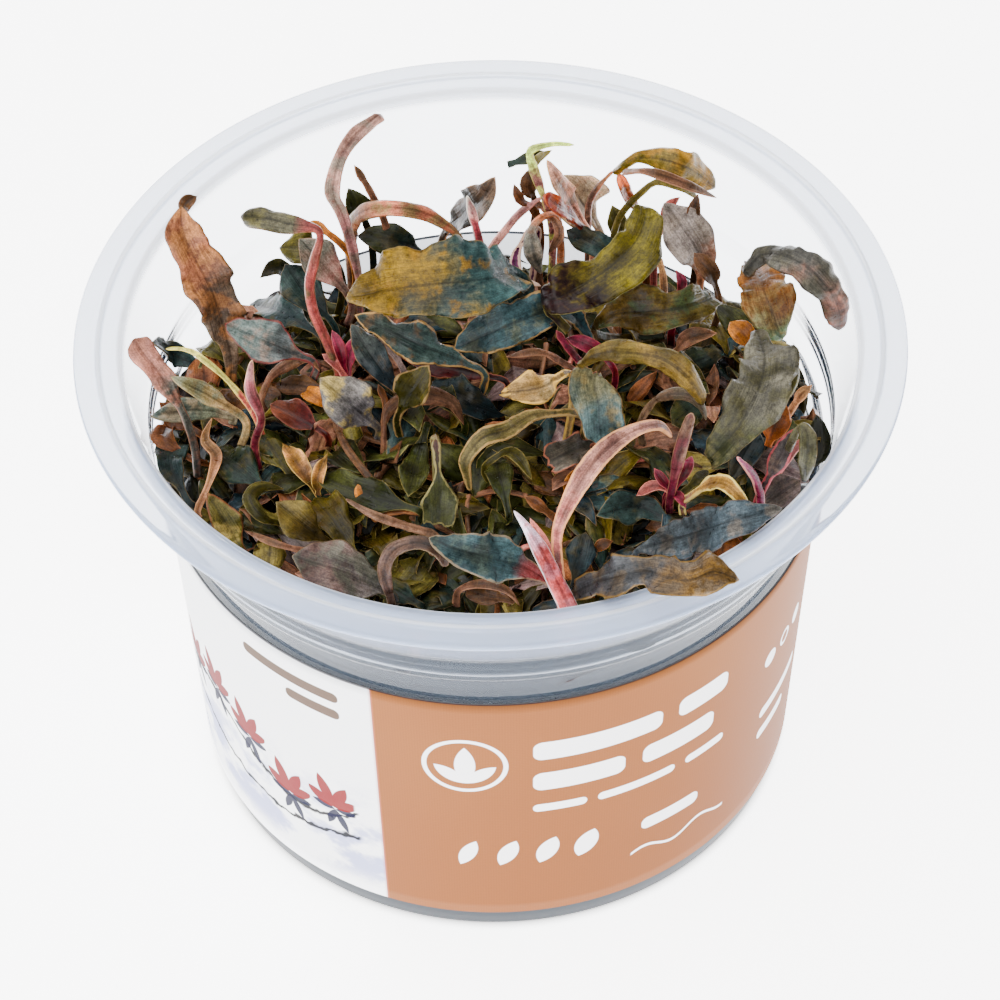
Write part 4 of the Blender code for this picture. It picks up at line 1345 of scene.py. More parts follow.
@dataclass
class MainLeaves:
    """The leaves, shoots and stems that have solids of their own.

    Attributes:
        stations: the number of stations along a blade.
        across: the number of points across a face of it.
        first_seed: the seed of the first blade's waves.
        finishes: the material of each slot.
    """

    stations: int = 60
    across: int = 15
    first_seed: int = 100
    finishes: dict[Slot, bpy.types.Material] = field(default_factory=dict)

    def build(self) -> int:
        """Replaces the solid of each leaf with its blade.

        Returns:
            how many were made.
        """
        for index, name in enumerate(sorted(PAINTS)):
            paint = PAINTS[name]
            foliage = Foliage(self.across, self.first_seed + index)
            spines = Spines.of_solid(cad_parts[name]).refined(self.stations, paint.full)
            rows = paint.rows((index * SEED_STEP) % 1.0)[None]
            foliage.add(spines, rows, np.array([paint.wave]), paint.torn, paint.lobe)
            piece = foliage.build(f"{name}_blade", self.finishes[paint.slot], paint.slot)
            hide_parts(name)
        return len(PAINTS)


@dataclass(frozen=True)
class Sprig:
    """A small leaf or stem of the bed that the camera sees between the main ones.

    Attributes:
        paint: its colours.
        width: its width in millimetres.
        route: picture x, picture y and the height in millimetres. A height under 20 is one over the dome.
        widest: the share of the blade where it is widest.
        petiole: the share of the length that is bare stem.
        fold: how far its halves are folded up, in degrees.
        foot: whether a stem runs down from its base into the bed.
    """

    paint: Paint
    width: float
    route: tuple[Place, ...]
    widest: float = 0.5
    petiole: float = 0.1
    fold: float = 14.0
    foot: bool = True


DARK = Paint(TEAL, (62, 74, 68), (70, 72, 54), (82, 76, 56), (150, 134, 100))
DEEP_TEAL = Paint(TEAL, (66, 80, 78), (72, 86, 82), (84, 80, 62), (168, 150, 112), patchy=0.3)
NAVY = Paint(TEAL, (56, 64, 66), (64, 74, 76), (74, 70, 58), (160, 140, 108), patchy=0.3)
DARK_GREEN = Paint(OLIVE, (70, 74, 52), (84, 86, 58), (64, 64, 46), (170, 158, 104))
MOSS = Paint(OLIVE, (98, 92, 56), (112, 104, 62), (80, 76, 48), (180, 166, 108))
YELLOW_OLIVE = Paint(OLIVE, (134, 122, 68), (142, 130, 74), (112, 100, 56), (182, 168, 112))
OLIVE_BROWN = Paint(OLIVE, (96, 86, 54), (104, 92, 52), (84, 72, 46), (170, 158, 100))
TAN = Paint(RUST, (168, 130, 104), (150, 115, 90), (130, 98, 74), (195, 160, 130))
BROWN = Paint(RUST, (120, 88, 68), (132, 98, 76), (96, 72, 54), (165, 130, 105))
RUSTY = Paint(RUST, (142, 94, 68), (156, 106, 72), (120, 80, 56), (190, 150, 108))
AMBER = Paint(OCHRE, (190, 138, 70), (205, 158, 62), (172, 115, 55), (225, 190, 120))
BEIGE = Paint(OCHRE, (200, 165, 128), (190, 160, 118), (168, 135, 95), (222, 195, 160))
TORN = Paint(
    OCHRE, (176, 140, 96), (214, 186, 130), (150, 118, 62), (228, 206, 156), wave=1.2, torn=0.7, lobe=0.25
)
ROSE = Paint(PINK, (200, 135, 125), (205, 150, 138), (180, 112, 104), (225, 185, 172))
WINE = Paint(CRIMSON, (146, 42, 72), (170, 72, 100), (120, 38, 54), (205, 140, 140))
LILAC = Paint(GREY, (140, 118, 110), (128, 112, 104), (110, 98, 88), (170, 148, 135))
CRINKLED = Paint(CRIMSON, (96, 50, 44), (84, 52, 44), (60, 40, 36), (205, 160, 135), wave=0.7)
BURGUNDY = Paint(CRIMSON, (120, 60, 58), (135, 82, 66), (96, 60, 48), (185, 130, 105))
ORANGE = Paint(RUST, (176, 110, 62), (186, 128, 70), (140, 86, 52), (215, 170, 110))

# The small leaves and stems that show between the main leaves.
SPRIGS = (
    Sprig(MOSS, 4.6, ((324, 256, 67), (302, 248, 69), (279, 248, 68)), fold=8),
    Sprig(AMBER, 1.6, ((334, 238, 69), (318, 227, 70), (302, 227, 69))),
    Sprig(DARK, 3.2, ((305, 300, 0.5), (292, 280, 2.0), (275, 268, 2.5), (260, 278, 1.5))),
    Sprig(DEEP_TEAL, 5.6, ((330, 320, 2.0), (306, 294, 64), (285, 264, 66))),
    Sprig(DEEP_TEAL, 4.8, ((318, 334, 1.0), (285, 314, 2.5), (250, 304, 1.5))),
    Sprig(WINE, 1.7, ((345, 374, 1.5), (340, 350, 4.0), (332, 330, 5.0)), fold=25),
    Sprig(WINE, 2.0, ((348, 374, 1.5), (351, 352, 3.5), (356, 337, 4.0)), fold=25),
    Sprig(ROSE, 1.5, ((344, 376, 1.5), (334, 362, 3.0), (322, 354, 3.0)), fold=20),
    Sprig(DEEP_TEAL, 3.6, ((212, 372, 0.5), (180, 358, 2.0), (152, 342, 1.0))),
    Sprig(MOSS, 2.6, ((237, 368, 1.0), (215, 352, 2.0), (200, 348, 1.0))),
    Sprig(DEEP_TEAL, 4.4, ((187, 500, 0.0), (172, 470, 1.5), (158, 438, 1.0))),
    Sprig(BEIGE, 1.8, ((198, 510, 0.5), (212, 475, 2.5), (216, 455, 3.0), (205, 440, 3.0), (212, 418, 1.5)),
          fold=30),
    Sprig(DARK, 5.2, ((268, 492, 0.5), (240, 468, 2.5), (212, 450, 1.0))),
    Sprig(TAN, 1.8, ((262, 395, 1.0), (272, 375, 3.0), (290, 363, 4.0), (312, 360, 4.0), (320, 372, 2.0)),
          fold=-18),
    Sprig(BROWN, 3.2, ((330, 392, 0.5), (302, 386, 2.0), (275, 385, 1.0))),
    Sprig(BURGUNDY, 4.4, ((322, 432, 0.5), (296, 417, 2.5), (270, 404, 2.0)), fold=30),
    Sprig(MOSS, 3.6, ((288, 472, 0.5), (276, 455, 2.0), (266, 438, 1.0))),
    Sprig(TORN, 3.0, ((318, 496, 0.5), (302, 470, 3.0), (284, 446, 2.5)), fold=40),
    Sprig(TORN, 2.4, ((318, 496, 0.5), (318, 478, 3.0), (326, 456, 3.0)), fold=40),
    Sprig(MOSS, 2.2, ((286, 524, 0.5), (262, 516, 2.5), (250, 500, 3.0), (262, 486, 3.0), (284, 489, 1.0)),
          fold=-20),
    Sprig(OLIVE_BROWN, 5.2, ((356, 556, 0.5), (338, 526, 2.5), (314, 498, 1.5))),
    Sprig(TAN, 1.0, ((312, 553, 1.0), (280, 545, 2.0), (245, 531, 1.0)), fold=0),
    Sprig(RUSTY, 3.6, ((196, 432, 0.5), (175, 418, 2.5), (150, 402, 2.0)), fold=24),
    Sprig(RUSTY, 3.4, ((186, 456, 0.5), (166, 442, 2.0), (150, 426, 1.5)), fold=28),
    Sprig(TAN, 1.1, ((378, 206, 73), (366, 184, 77), (354, 165, 80)), petiole=0.5, fold=0),
    Sprig(DARK, 3.4, ((365, 222, 68), (356, 204, 72), (348, 188, 74))),
    Sprig(DARK, 4.4, ((425, 255, 64), (392, 240, 68), (357, 236, 68))),
    Sprig(CRINKLED, 4.0, ((502, 380, 1.0), (452, 369, 3.5), (398, 354, 2.0)), fold=30),
    Sprig(LILAC, 1.8, ((404, 372, 1.0), (392, 350, 3.0), (378, 334, 2.0)), fold=30),
    Sprig(DARK_GREEN, 3.2, ((462, 420, 0.5), (448, 402, 2.0), (434, 386, 1.0))),
    Sprig(TAN, 2.8, ((384, 447, 1.0), (388, 410, 4.0), (420, 394, 5.0), (452, 402, 4.0), (464, 425, 1.5)),
          fold=-22),
    Sprig(DARK_GREEN, 3.8, ((427, 426, 1.0), (418, 458, 2.5), (408, 497, 1.0))),
    Sprig(BROWN, 1.1, ((368, 476, 1.0), (348, 450, 2.0), (334, 416, 2.0)), petiole=0.6, fold=0),
    Sprig(RUSTY, 1.0, ((382, 432, 1.0), (386, 405, 3.0), (378, 384, 3.0)), petiole=0.6, fold=0),
    Sprig(NAVY, 5.2, ((506, 419, 0.5), (470, 402, 2.5), (432, 381, 1.5))),
    Sprig(DARK_GREEN, 5.0, ((417, 510, 0.5), (368, 496, 2.5), (316, 474, 1.5))),
    Sprig(AMBER, 1.9, ((370, 508, 1.0), (362, 494, 2.0), (358, 483, 1.5))),
    Sprig(BROWN, 3.2, ((510, 600, 0.0), (488, 596, 1.0), (466, 588, 0.5))),
    Sprig(DARK, 3.6, ((420, 605, -0.5), (400, 594, 0.5), (378, 583, 0.0))),
    Sprig(AMBER, 2.4, ((336, 412, 1.0), (318, 398, 2.5), (300, 388, 1.5))),
    Sprig(BROWN, 2.6, ((534, 200, 72), (530, 182, 76), (536, 165, 78))),
    Sprig(RUSTY, 1.6, ((530, 206, 72), (518, 196, 75), (514, 184, 76))),
    Sprig(YELLOW_OLIVE, 1.4, ((530, 176, 76), (540, 158, 81), (552, 150, 83)), foot=False),
    Sprig(DARK, 1.8, ((508, 165, 79), (530, 158, 80), (550, 153, 80)), foot=False),
    Sprig(TAN, 1.5, ((545, 210, 73), (560, 233, 73), (548, 255, 69)), fold=24),
    Sprig(TAN, 1.5, ((624, 172, 82), (650, 172, 85), (685, 184, 83), (717, 198, 79)), fold=0, foot=False),
    Sprig(YELLOW_OLIVE, 1.5, ((638, 195, 76), (655, 182, 78), (680, 185, 77), (700, 200, 73)), fold=-20),
    Sprig(BROWN, 2.0, ((696, 228, 70), (694, 210, 74), (698, 194, 76))),
    Sprig(MOSS, 2.6, ((614, 242, 67), (617, 222, 70), (612, 205, 72))),
    Sprig(ROSE, 1.6, ((662, 224, 68), (668, 208, 71), (680, 197, 73))),
    Sprig(BROWN, 3.2, ((716, 288, 66), (708, 270, 69), (694, 253, 70)), fold=30),
    Sprig(WINE, 1.4, ((678, 296, 66), (682, 282, 68), (676, 270, 69))),
    Sprig(BEIGE, 1.0, ((664, 292, 66), (662, 270, 69), (656, 252, 71)), petiole=0.5, fold=0),
    Sprig(DEEP_TEAL, 4.2, ((624, 262, 66), (598, 246, 69), (566, 230, 69))),
    Sprig(AMBER, 3.4, ((752, 350, 68), (744, 335, 70), (730, 322, 70))),
    Sprig(TAN, 2.4, ((674, 354, 66), (692, 337, 70), (717, 333, 70)), fold=25),
    Sprig(DARK_GREEN, 3.6, ((755, 345, 62), (735, 322, 66), (715, 304, 67))),
    Sprig(BEIGE, 1.6, ((794, 406, 66), (802, 394, 68), (812, 385, 69))),
    Sprig(ORANGE, 3.4, ((768, 446, 64), (776, 424, 67), (786, 404, 68)), foot=False),
    Sprig(MOSS, 2.4, ((772, 416, 69), (788, 386, 72), (795, 352, 73)), fold=-25, foot=False),
    Sprig(NAVY, 4.2, ((728, 486, 1.0), (744, 456, 2.5), (758, 430, 1.5))),
    Sprig(LILAC, 4.0, ((758, 510, 1.0), (780, 494, 2.5), (801, 480, 1.5))),
    Sprig(ROSE, 1.2, ((762, 494, 2.0), (784, 464, 4.0), (806, 436, 6.0)), petiole=0.6, fold=0),
    Sprig(WINE, 1.6, ((672, 492, 2.0), (684, 474, 4.5), (692, 456, 6.0)), fold=22),
    Sprig(ROSE, 1.6, ((672, 492, 2.0), (656, 486, 3.5), (636, 496, 3.0)), fold=22),
    Sprig(WINE, 1.4, ((672, 492, 2.0), (680, 498, 3.0), (686, 508, 2.5)), fold=22),
    Sprig(WINE, 1.5, ((672, 492, 2.0), (662, 480, 4.0), (654, 468, 4.5)), fold=22),
    Sprig(MOSS, 1.8, ((684, 492, 2.0), (696, 482, 3.0), (708, 470, 2.0))),
    Sprig(WINE, 2.6, ((608, 362, 66), (590, 347, 69), (566, 338, 69)), fold=30),
    Sprig(WINE, 1.0, ((580, 362, 66), (566, 345, 69), (556, 330, 71)), petiole=0.6, fold=0),
    Sprig(TAN, 1.1, ((568, 366, 66), (540, 352, 69), (506, 357, 68)), petiole=0.3, fold=0),
    Sprig(AMBER, 1.2, ((572, 476, 2.0), (582, 466, 3.0), (591, 457, 3.0))),
    Sprig(ROSE, 2.2, ((557, 590, 65), (545, 552, 70), (530, 518, 73)), fold=28),
    Sprig(WINE, 1.7, ((560, 592, 65), (549, 560, 69), (546, 538, 71)), fold=28),
    Sprig(NAVY, 3.8, ((574, 584, 1.0), (580, 558, 3.0), (586, 532, 3.0))),
    Sprig(RUSTY, 1.6, ((592, 552, 2.5), (602, 545, 3.5), (613, 541, 3.0))),
    Sprig(DEEP_TEAL, 4.6, ((676, 526, 1.0), (642, 508, 2.5), (596, 516, 1.5))),
    Sprig(DARK_GREEN, 3.8, ((508, 510, 1.0), (502, 486, 2.5), (496, 462, 1.5))),
    Sprig(MOSS, 1.8, ((490, 462, 2.0), (504, 453, 3.5), (520, 460, 4.0), (532, 480, 2.0)), fold=26),
    Sprig(RUSTY, 1.6, ((552, 516, 1.5), (538, 505, 2.5), (524, 496, 2.0))),
    Sprig(TAN, 1.2, ((456, 606, 0.5), (458, 592, 3.0), (480, 584, 4.0), (506, 590, 3.0), (520, 606, 0.5)),
          fold=0),
    Sprig(BROWN, 2.0, ((183, 216, 79), (186, 204, 81), (197, 196, 81)), fold=24, foot=False),
)


@dataclass(frozen=True)
class RootFinish:
    """Fibres and old leaves, brown and green, in blotches, near black: partly their own dark colour and
    partly painted shade.
    """

    dark: Rgba = (0.004, 0.004, 0.0035, 1.0)
    green: Rgba = (0.01, 0.012, 0.007, 1.0)
    brown: Rgba = (0.028, 0.022, 0.014, 1.0)

    def material(self) -> bpy.types.Material:
        """Builds the material: green blotches on the dark, with brown fibres that run upright.

        Returns:
            the material.
        """
        graph = Graph("root_mass")
        x, y, z = graph.split(graph.place())
        blotch = graph.noise(graph.place(), 150.0, 2.0, 0.6)
        fibre = graph.noise(graph.vector(x * 900.0, y * 900.0, z * 260.0), 1.0, 1.0, 0.7)
        colour = graph.mix(blotch.above(0.4, 0.62), self.dark, self.green)
        colour = graph.mix(fibre.above(0.5, 0.68) * 0.5, colour, self.brown)
        values = {
            "Base Color": colour,
            "Roughness": 0.6 + (fibre - 0.5) * 0.4,
            "Normal": graph.bump(fibre + blotch, 0.8, 0.0006),
        }
        return graph.surface(values)


@dataclass
class Planting:
    """What fills the cup under the main leaves: a dark mass of roots, small leaves, thin stems and sprigs.

    Attributes:
        bed: its form.
        view: the camera that places the sprigs.
        rosettes: the number of rosettes of small leaves.
        leaves_each: the number of leaves of a rosette.
        pressed: the number of leaves pressed against the wall.
        stems: the number of thin stems.
        floor: the height of the mass's underside.
        spread: how far from the middle a rosette may stand.
        first_seed: the first of the seeds of its random numbers.
        finish: the material of the small leaves.
    """

    bed: Bed = Bed()
    view: ReferenceView = ReferenceView()
    rosettes: int = 230
    leaves_each: int = 5
    pressed: int = 220
    stems: int = 110
    floor: float = 1.2
    spread: float = 38.5
    first_seed: int = 41
    finish: bpy.types.Material | None = None

    def core(self) -> None:
        """The dark mass: rings from the middle of the top over the edge and down the wall to the floor."""
        turns, rows = 144, 70
        turn = np.arange(turns) * 2 * math.pi / turns
        share = np.linspace(0.02, 0.98, rows)[:, None]
        spread = np.clip(share / 0.5, 0.0, 1.0)
        down = np.clip((share - 0.5) / 0.36, 0.0, 1.0)
        inward = np.clip((share - 0.86) / 0.14, 0.0, 1.0)
        edge = (self.bed.reach - 1.0) * spread
        x, y = edge * np.cos(turn), edge * np.sin(turn)
        shoulder = np.clip((spread - 0.82) / 0.18, 0.0, 1.0)
        top = self.bed.top(x, y) - 5.0 - 7.0 * shoulder**2
        height = top * (1 - down) + self.floor * down
        corner = np.maximum(0.0, 2.3 - height)
        outer = self.bed.cup.inside(height) - 0.75 - corner
        radius = np.where(share > 0.5, outer, edge) * (1.0 - 0.98 * inward)
        rough = np.sin(turn * 9 + height * 0.7) + np.sin(turn * 17 - height * 1.3)
        rough = rough + np.sin(turn * 31 + height * 0.4)
        radius = radius + np.where(share > 0.5, 0.14 * rough * (1 - inward), 0.0)
        height = height + np.where(share < 0.5, 0.5 * np.sin(x * 1.1) * np.sin(y * 1.3 + 1.0), 0.0)
        points = np.stack([radius * np.cos(turn), radius * np.sin(turn), height], axis=-1)
        poles = np.array([[0.0, 0.0, float(self.bed.top(0.0, 0.0)) - 5.0], [0.0, 0.0, self.floor]])
        points = np.vstack([points.reshape(-1, 3), poles])
        faces = ring_faces(rows, turns, True)
        made = make_piece("root_mass", points, faces, RootFinish().material())
        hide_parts("thicket")

    def small_spines(
        self, base: np.ndarray, heading: np.ndarray, start: np.ndarray, bend: np.ndarray,
        length: np.ndarray, width: np.ndarray, random: np.random.Generator, stations: int = 8
    ) -> Spines:
        """The lines of many small leaves, each starting at an angle above level and bending steadily down.

        Args:
            base: the leaves' base points.
            heading: their directions seen from above, in radians.
            start: the angles above level at the base, in radians.
            bend: how far each bends down over its length, in radians.
            length: their lengths.
            width: their widths.
            random: the source of the small differences.
            stations: the number of stations.

        Returns:
            the lines.
        """
        count = len(base)
        t = np.linspace(0.0, 1.0, stations)[None]
        rise = start[:, None] - bend[:, None] * t
        yaw = heading[:, None] + random.uniform(-0.7, 0.7, (count, 1)) * t
        along = np.stack([np.cos(rise) * np.cos(yaw), np.cos(rise) * np.sin(yaw), np.sin(rise)], axis=-1)
        steps = along * (length / (stations - 1))[:, None, None]
        path = base[:, None] + np.cumsum(steps, axis=1) - steps[:, :1]
        level = np.stack([np.sin(yaw), -np.cos(yaw), np.zeros_like(yaw)], axis=-1)
        normal = np.cross(level, along)
        roll = (random.normal(0.0, 0.4, (count, 1)) + random.normal(0.0, 0.3, (count, 1)) * t)[..., None]
        side = level * np.cos(roll) + normal * np.sin(roll)
        normal = np.cross(side, along)
        blade = np.clip((t - 0.12) / 0.88, 0.0, 1.0)
        swell = np.sin(math.pi * blade**0.85) ** 0.8
        half_width = np.maximum(width[:, None] / 2 * swell, 0.32 * np.clip(1.0 - blade * 1.1, 0.12, 1.0))
        fold = random.uniform(-0.2, 0.5, (count, 1))
        lift = normal * (half_width * np.sin(fold))[..., None]
        out = side * (half_width * np.cos(fold))[..., None]
        half = np.minimum(half_width * 0.6, 0.16)
        return Spines(path, lift - out, lift + out, half, np.broadcast_to(t, (count, stations)))

    def kept_inside(self, spines: Spines, above: float) -> Spines:
        """The same leaves, pressed under the dome and inside the wall.

        Args:
            spines: their lines.
            above: how far over the dome they may rise before they are pressed down.

        Returns:
            the new lines.
        """
        x, y, z = np.moveaxis(spines.path, -1, 0)
        ceiling = self.bed.top(x, y) + above
        z = np.where(z > ceiling, ceiling + 0.25 * (z - ceiling), z)
        radius = np.maximum(np.hypot(x, y), 1e-6)
        limit = self.bed.cup.inside(z) - 1.3
        scale = np.minimum(1.0, limit / radius)
        path = np.stack([x * scale, y * scale, np.maximum(z, self.floor + 1.0)], axis=-1)
        return Spines(path, spines.left, spines.right, spines.half, spines.share)

    def colours(self, count: int, random: np.random.Generator) -> np.ndarray:
        """Random choices of the small leaves' paints, each a little lighter or darker.

        Args:
            count: the number of leaves.
            random: the source of the choices.

        Returns:
            four colours for each leaf.
        """
        palette = (DARK, DARK, DARK, NAVY, DEEP_TEAL, DARK_GREEN, DARK_GREEN, DARK_GREEN, MOSS, OLIVE_BROWN,
                   OLIVE_BROWN, YELLOW_OLIVE, BROWN, TAN, RUSTY, LILAC)
        table = np.array([paint.rows(0.0) for paint in palette])
        chosen = table[random.integers(0, len(palette), count)]
        chosen[..., :3] *= random.uniform(0.65, 1.35, (count, 1, 1)) * np.array([1.03, 1.0, 1.12])
        chosen[:, 3, 3] = random.uniform(0.0, 1.0, count)
        return chosen

    def small_leaves(self, random: np.random.Generator) -> None:
        """Rosettes of small leaves all over the bed, with painted shade: the deeper ones darker.

        Args:
            random: the source of the random numbers.
        """
        count = self.rosettes
        radius = self.spread * np.sqrt(random.uniform(0.0, 1.0, count))
        turn = random.uniform(0.0, 2 * math.pi, count)
        x, y = radius * np.cos(turn), radius * np.sin(turn)
        depth = random.uniform(2.0, 8.0, count)
        centre = np.stack([x, y, self.bed.top(x, y) - depth], axis=1)
        each = self.leaves_each
        base = np.repeat(centre, each, axis=0)
        fan = np.tile(np.arange(each) * 2 * math.pi / each, count)
        heading = fan + np.repeat(random.uniform(0.0, 6.28, count), each)
        heading = heading + random.normal(0.0, 0.35, count * each)
        start = random.uniform(0.25, 1.25, count * each)
        bend = random.uniform(0.5, 1.7, count * each)
        length = random.uniform(6.5, 12.5, count * each)
        width = length * random.uniform(0.32, 0.48, count * each)
        spines = self.small_spines(base, heading, start, bend, length, width, random)
        colours = self.colours(len(base), random)
        # Painted shade: twice as bright as their paints near the top of the bed, two thirds at the deepest.
        colours[..., :3] *= np.repeat(np.clip(2.5 - 0.23 * depth, 0.4, 2.0), each)[:, None, None]
        foliage = Foliage(4, self.first_seed + 1)
        foliage.add(self.kept_inside(spines, 0.0), colours, np.full(len(base), 0.6), 0.0, 0.15)
        made = foliage.build("small_leaves", self.finish, Slot.THICKET)
        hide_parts("thicket")

    def leaves_at_the_wall(self, random: np.random.Generator) -> None:
        """Leaves that lie flat against the wall, painted dark as painted shade.

        Args:
            random: the source of the random numbers.
        """
        count = self.pressed
        turn = random.uniform(0.0, 2 * math.pi, count)
        height = random.uniform(40.0, 57.0, count)
        radius = self.bed.cup.inside(height) - 1.6
        base = np.stack([radius * np.cos(turn), radius * np.sin(turn), height], axis=1)
        heading = turn + np.where(random.uniform(size=count) > 0.5, 1.5, -1.5)
        start = random.uniform(-0.9, 0.9, count)
        length = random.uniform(5.0, 11.0, count)
        width = length * random.uniform(0.3, 0.45, count)
        spines = self.small_spines(base, heading, start, start, length, width, random)
        colours = self.colours(count, random)
        # Painted shade: a third as bright as their paints.
        colours[..., :3] *= 0.32
        foliage = Foliage(4, self.first_seed + 2)
        foliage.add(self.kept_inside(spines, 0.0), colours, np.full(count, 0.15))
        made = foliage.build("leaves_at_the_wall", self.finish, Slot.THICKET)
        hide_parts("thicket")

    def thin_stems(self) -> None:
        """Thin brown and pink stems that rise between the small leaves."""
        random = np.random.default_rng(self.first_seed + 3)
        count = self.stems
        radius = 37.0 * np.sqrt(random.uniform(0.0, 1.0, count))
        turn = random.uniform(0.0, 2 * math.pi, count)
        x, y = radius * np.cos(turn), radius * np.sin(turn)
        base = np.stack([x, y, self.bed.top(x, y) - random.uniform(4.0, 8.0, count)], axis=1)
        start = random.uniform(0.4, 1.4, count)
        length = random.uniform(7.0, 14.0, count)
        heading = random.uniform(0.0, 6.28, count)
        spines = self.small_spines(base, heading, start, start, length, np.full(count, 0.8), random)
        thin = np.full_like(spines.half, 0.38)
        side = unit(spines.right - spines.left) * thin[..., None]
        spines = Spines(spines.path, -side, side, thin, spines.share)
        table = np.array([paint.rows(0.0) for paint in (BROWN, TAN, ROSE, RUSTY, BROWN)])
        foliage = Foliage(4, self.first_seed + 4)
        chosen = table[random.integers(0, len(table), count)]
        foliage.add(self.kept_inside(spines, 0.5), chosen, np.zeros(count))
        made = foliage.build("thin_stems", self.finish, Slot.THICKET)
        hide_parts("thicket")

    def sprigs(self) -> None:
        """The small leaves and stems that the camera sees between the main ones."""
        foliage = Foliage(11, self.first_seed + 5)
        for index, sprig in enumerate(SPRIGS):
            points = self.bed.settle(self.view, np.array(sprig.route, float))
            spines = Spines.along_route(
                points, sprig.width, sprig.widest, sprig.petiole, sprig.fold, sprig.foot
            ).refined(36)
            paint = sprig.paint
            rows = paint.rows((index * SEED_STEP) % 1.0)[None]
            wave = min(paint.wave, sprig.width * 0.16)
            foliage.add(spines, rows, np.array([wave]), paint.torn, paint.lobe * 1.4)
        made = foliage.build("sprigs", self.finish, Slot.THICKET)
        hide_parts("thicket")

    def build(self) -> None:
        """Builds the whole planting."""
        random = np.random.default_rng(self.first_seed)
        self.core()
        self.small_leaves(random)
        self.leaves_at_the_wall(random)
        self.thin_stems()
        self.sprigs()


# The label


@dataclass(frozen=True)
class Label:
    """The printed paper band round the cup's body, in millimetres.

    Attributes:
        cup: the cup that it is on.
        bottom: the height of its lower edge.
        top: the height of its upper edge.
        gap: how far it stands off the body.
        thickness: the paper's thickness.
        segments: the number of steps round.
    """

    cup: Cup
    bottom: float = 3.8
    top: float = 48.8
    gap: float = 0.3
    thickness: float = 0.25
    segments: int = 256

    @property
    def face(self) -> float:
        """The printed face's radius, carried down to height zero."""
        return float(self.radius(0.0)) + self.gap + self.thickness

    def radius(self, height: np.ndarray) -> np.ndarray:
        """The body's outer radius at a height."""
        cup = self.cup
        return cup.body_bottom + (cup.body_top - cup.body_bottom) * (height - 2.0) / (cup.step - 3.2)

    def build(self) -> None:
        """Replaces the label's solid with a thin strip that follows the body."""
        height = np.linspace(self.bottom, self.top, 24)
        inner = np.stack([self.radius(height) + self.gap, height], axis=1)
        outer = inner[::-1] + np.array([self.thickness, 0.0])
        points, faces = turned(np.vstack([inner, outer]), self.segments)
        made = make_piece("label_band", points, faces, PaperFinish(self).material())
        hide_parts("label")


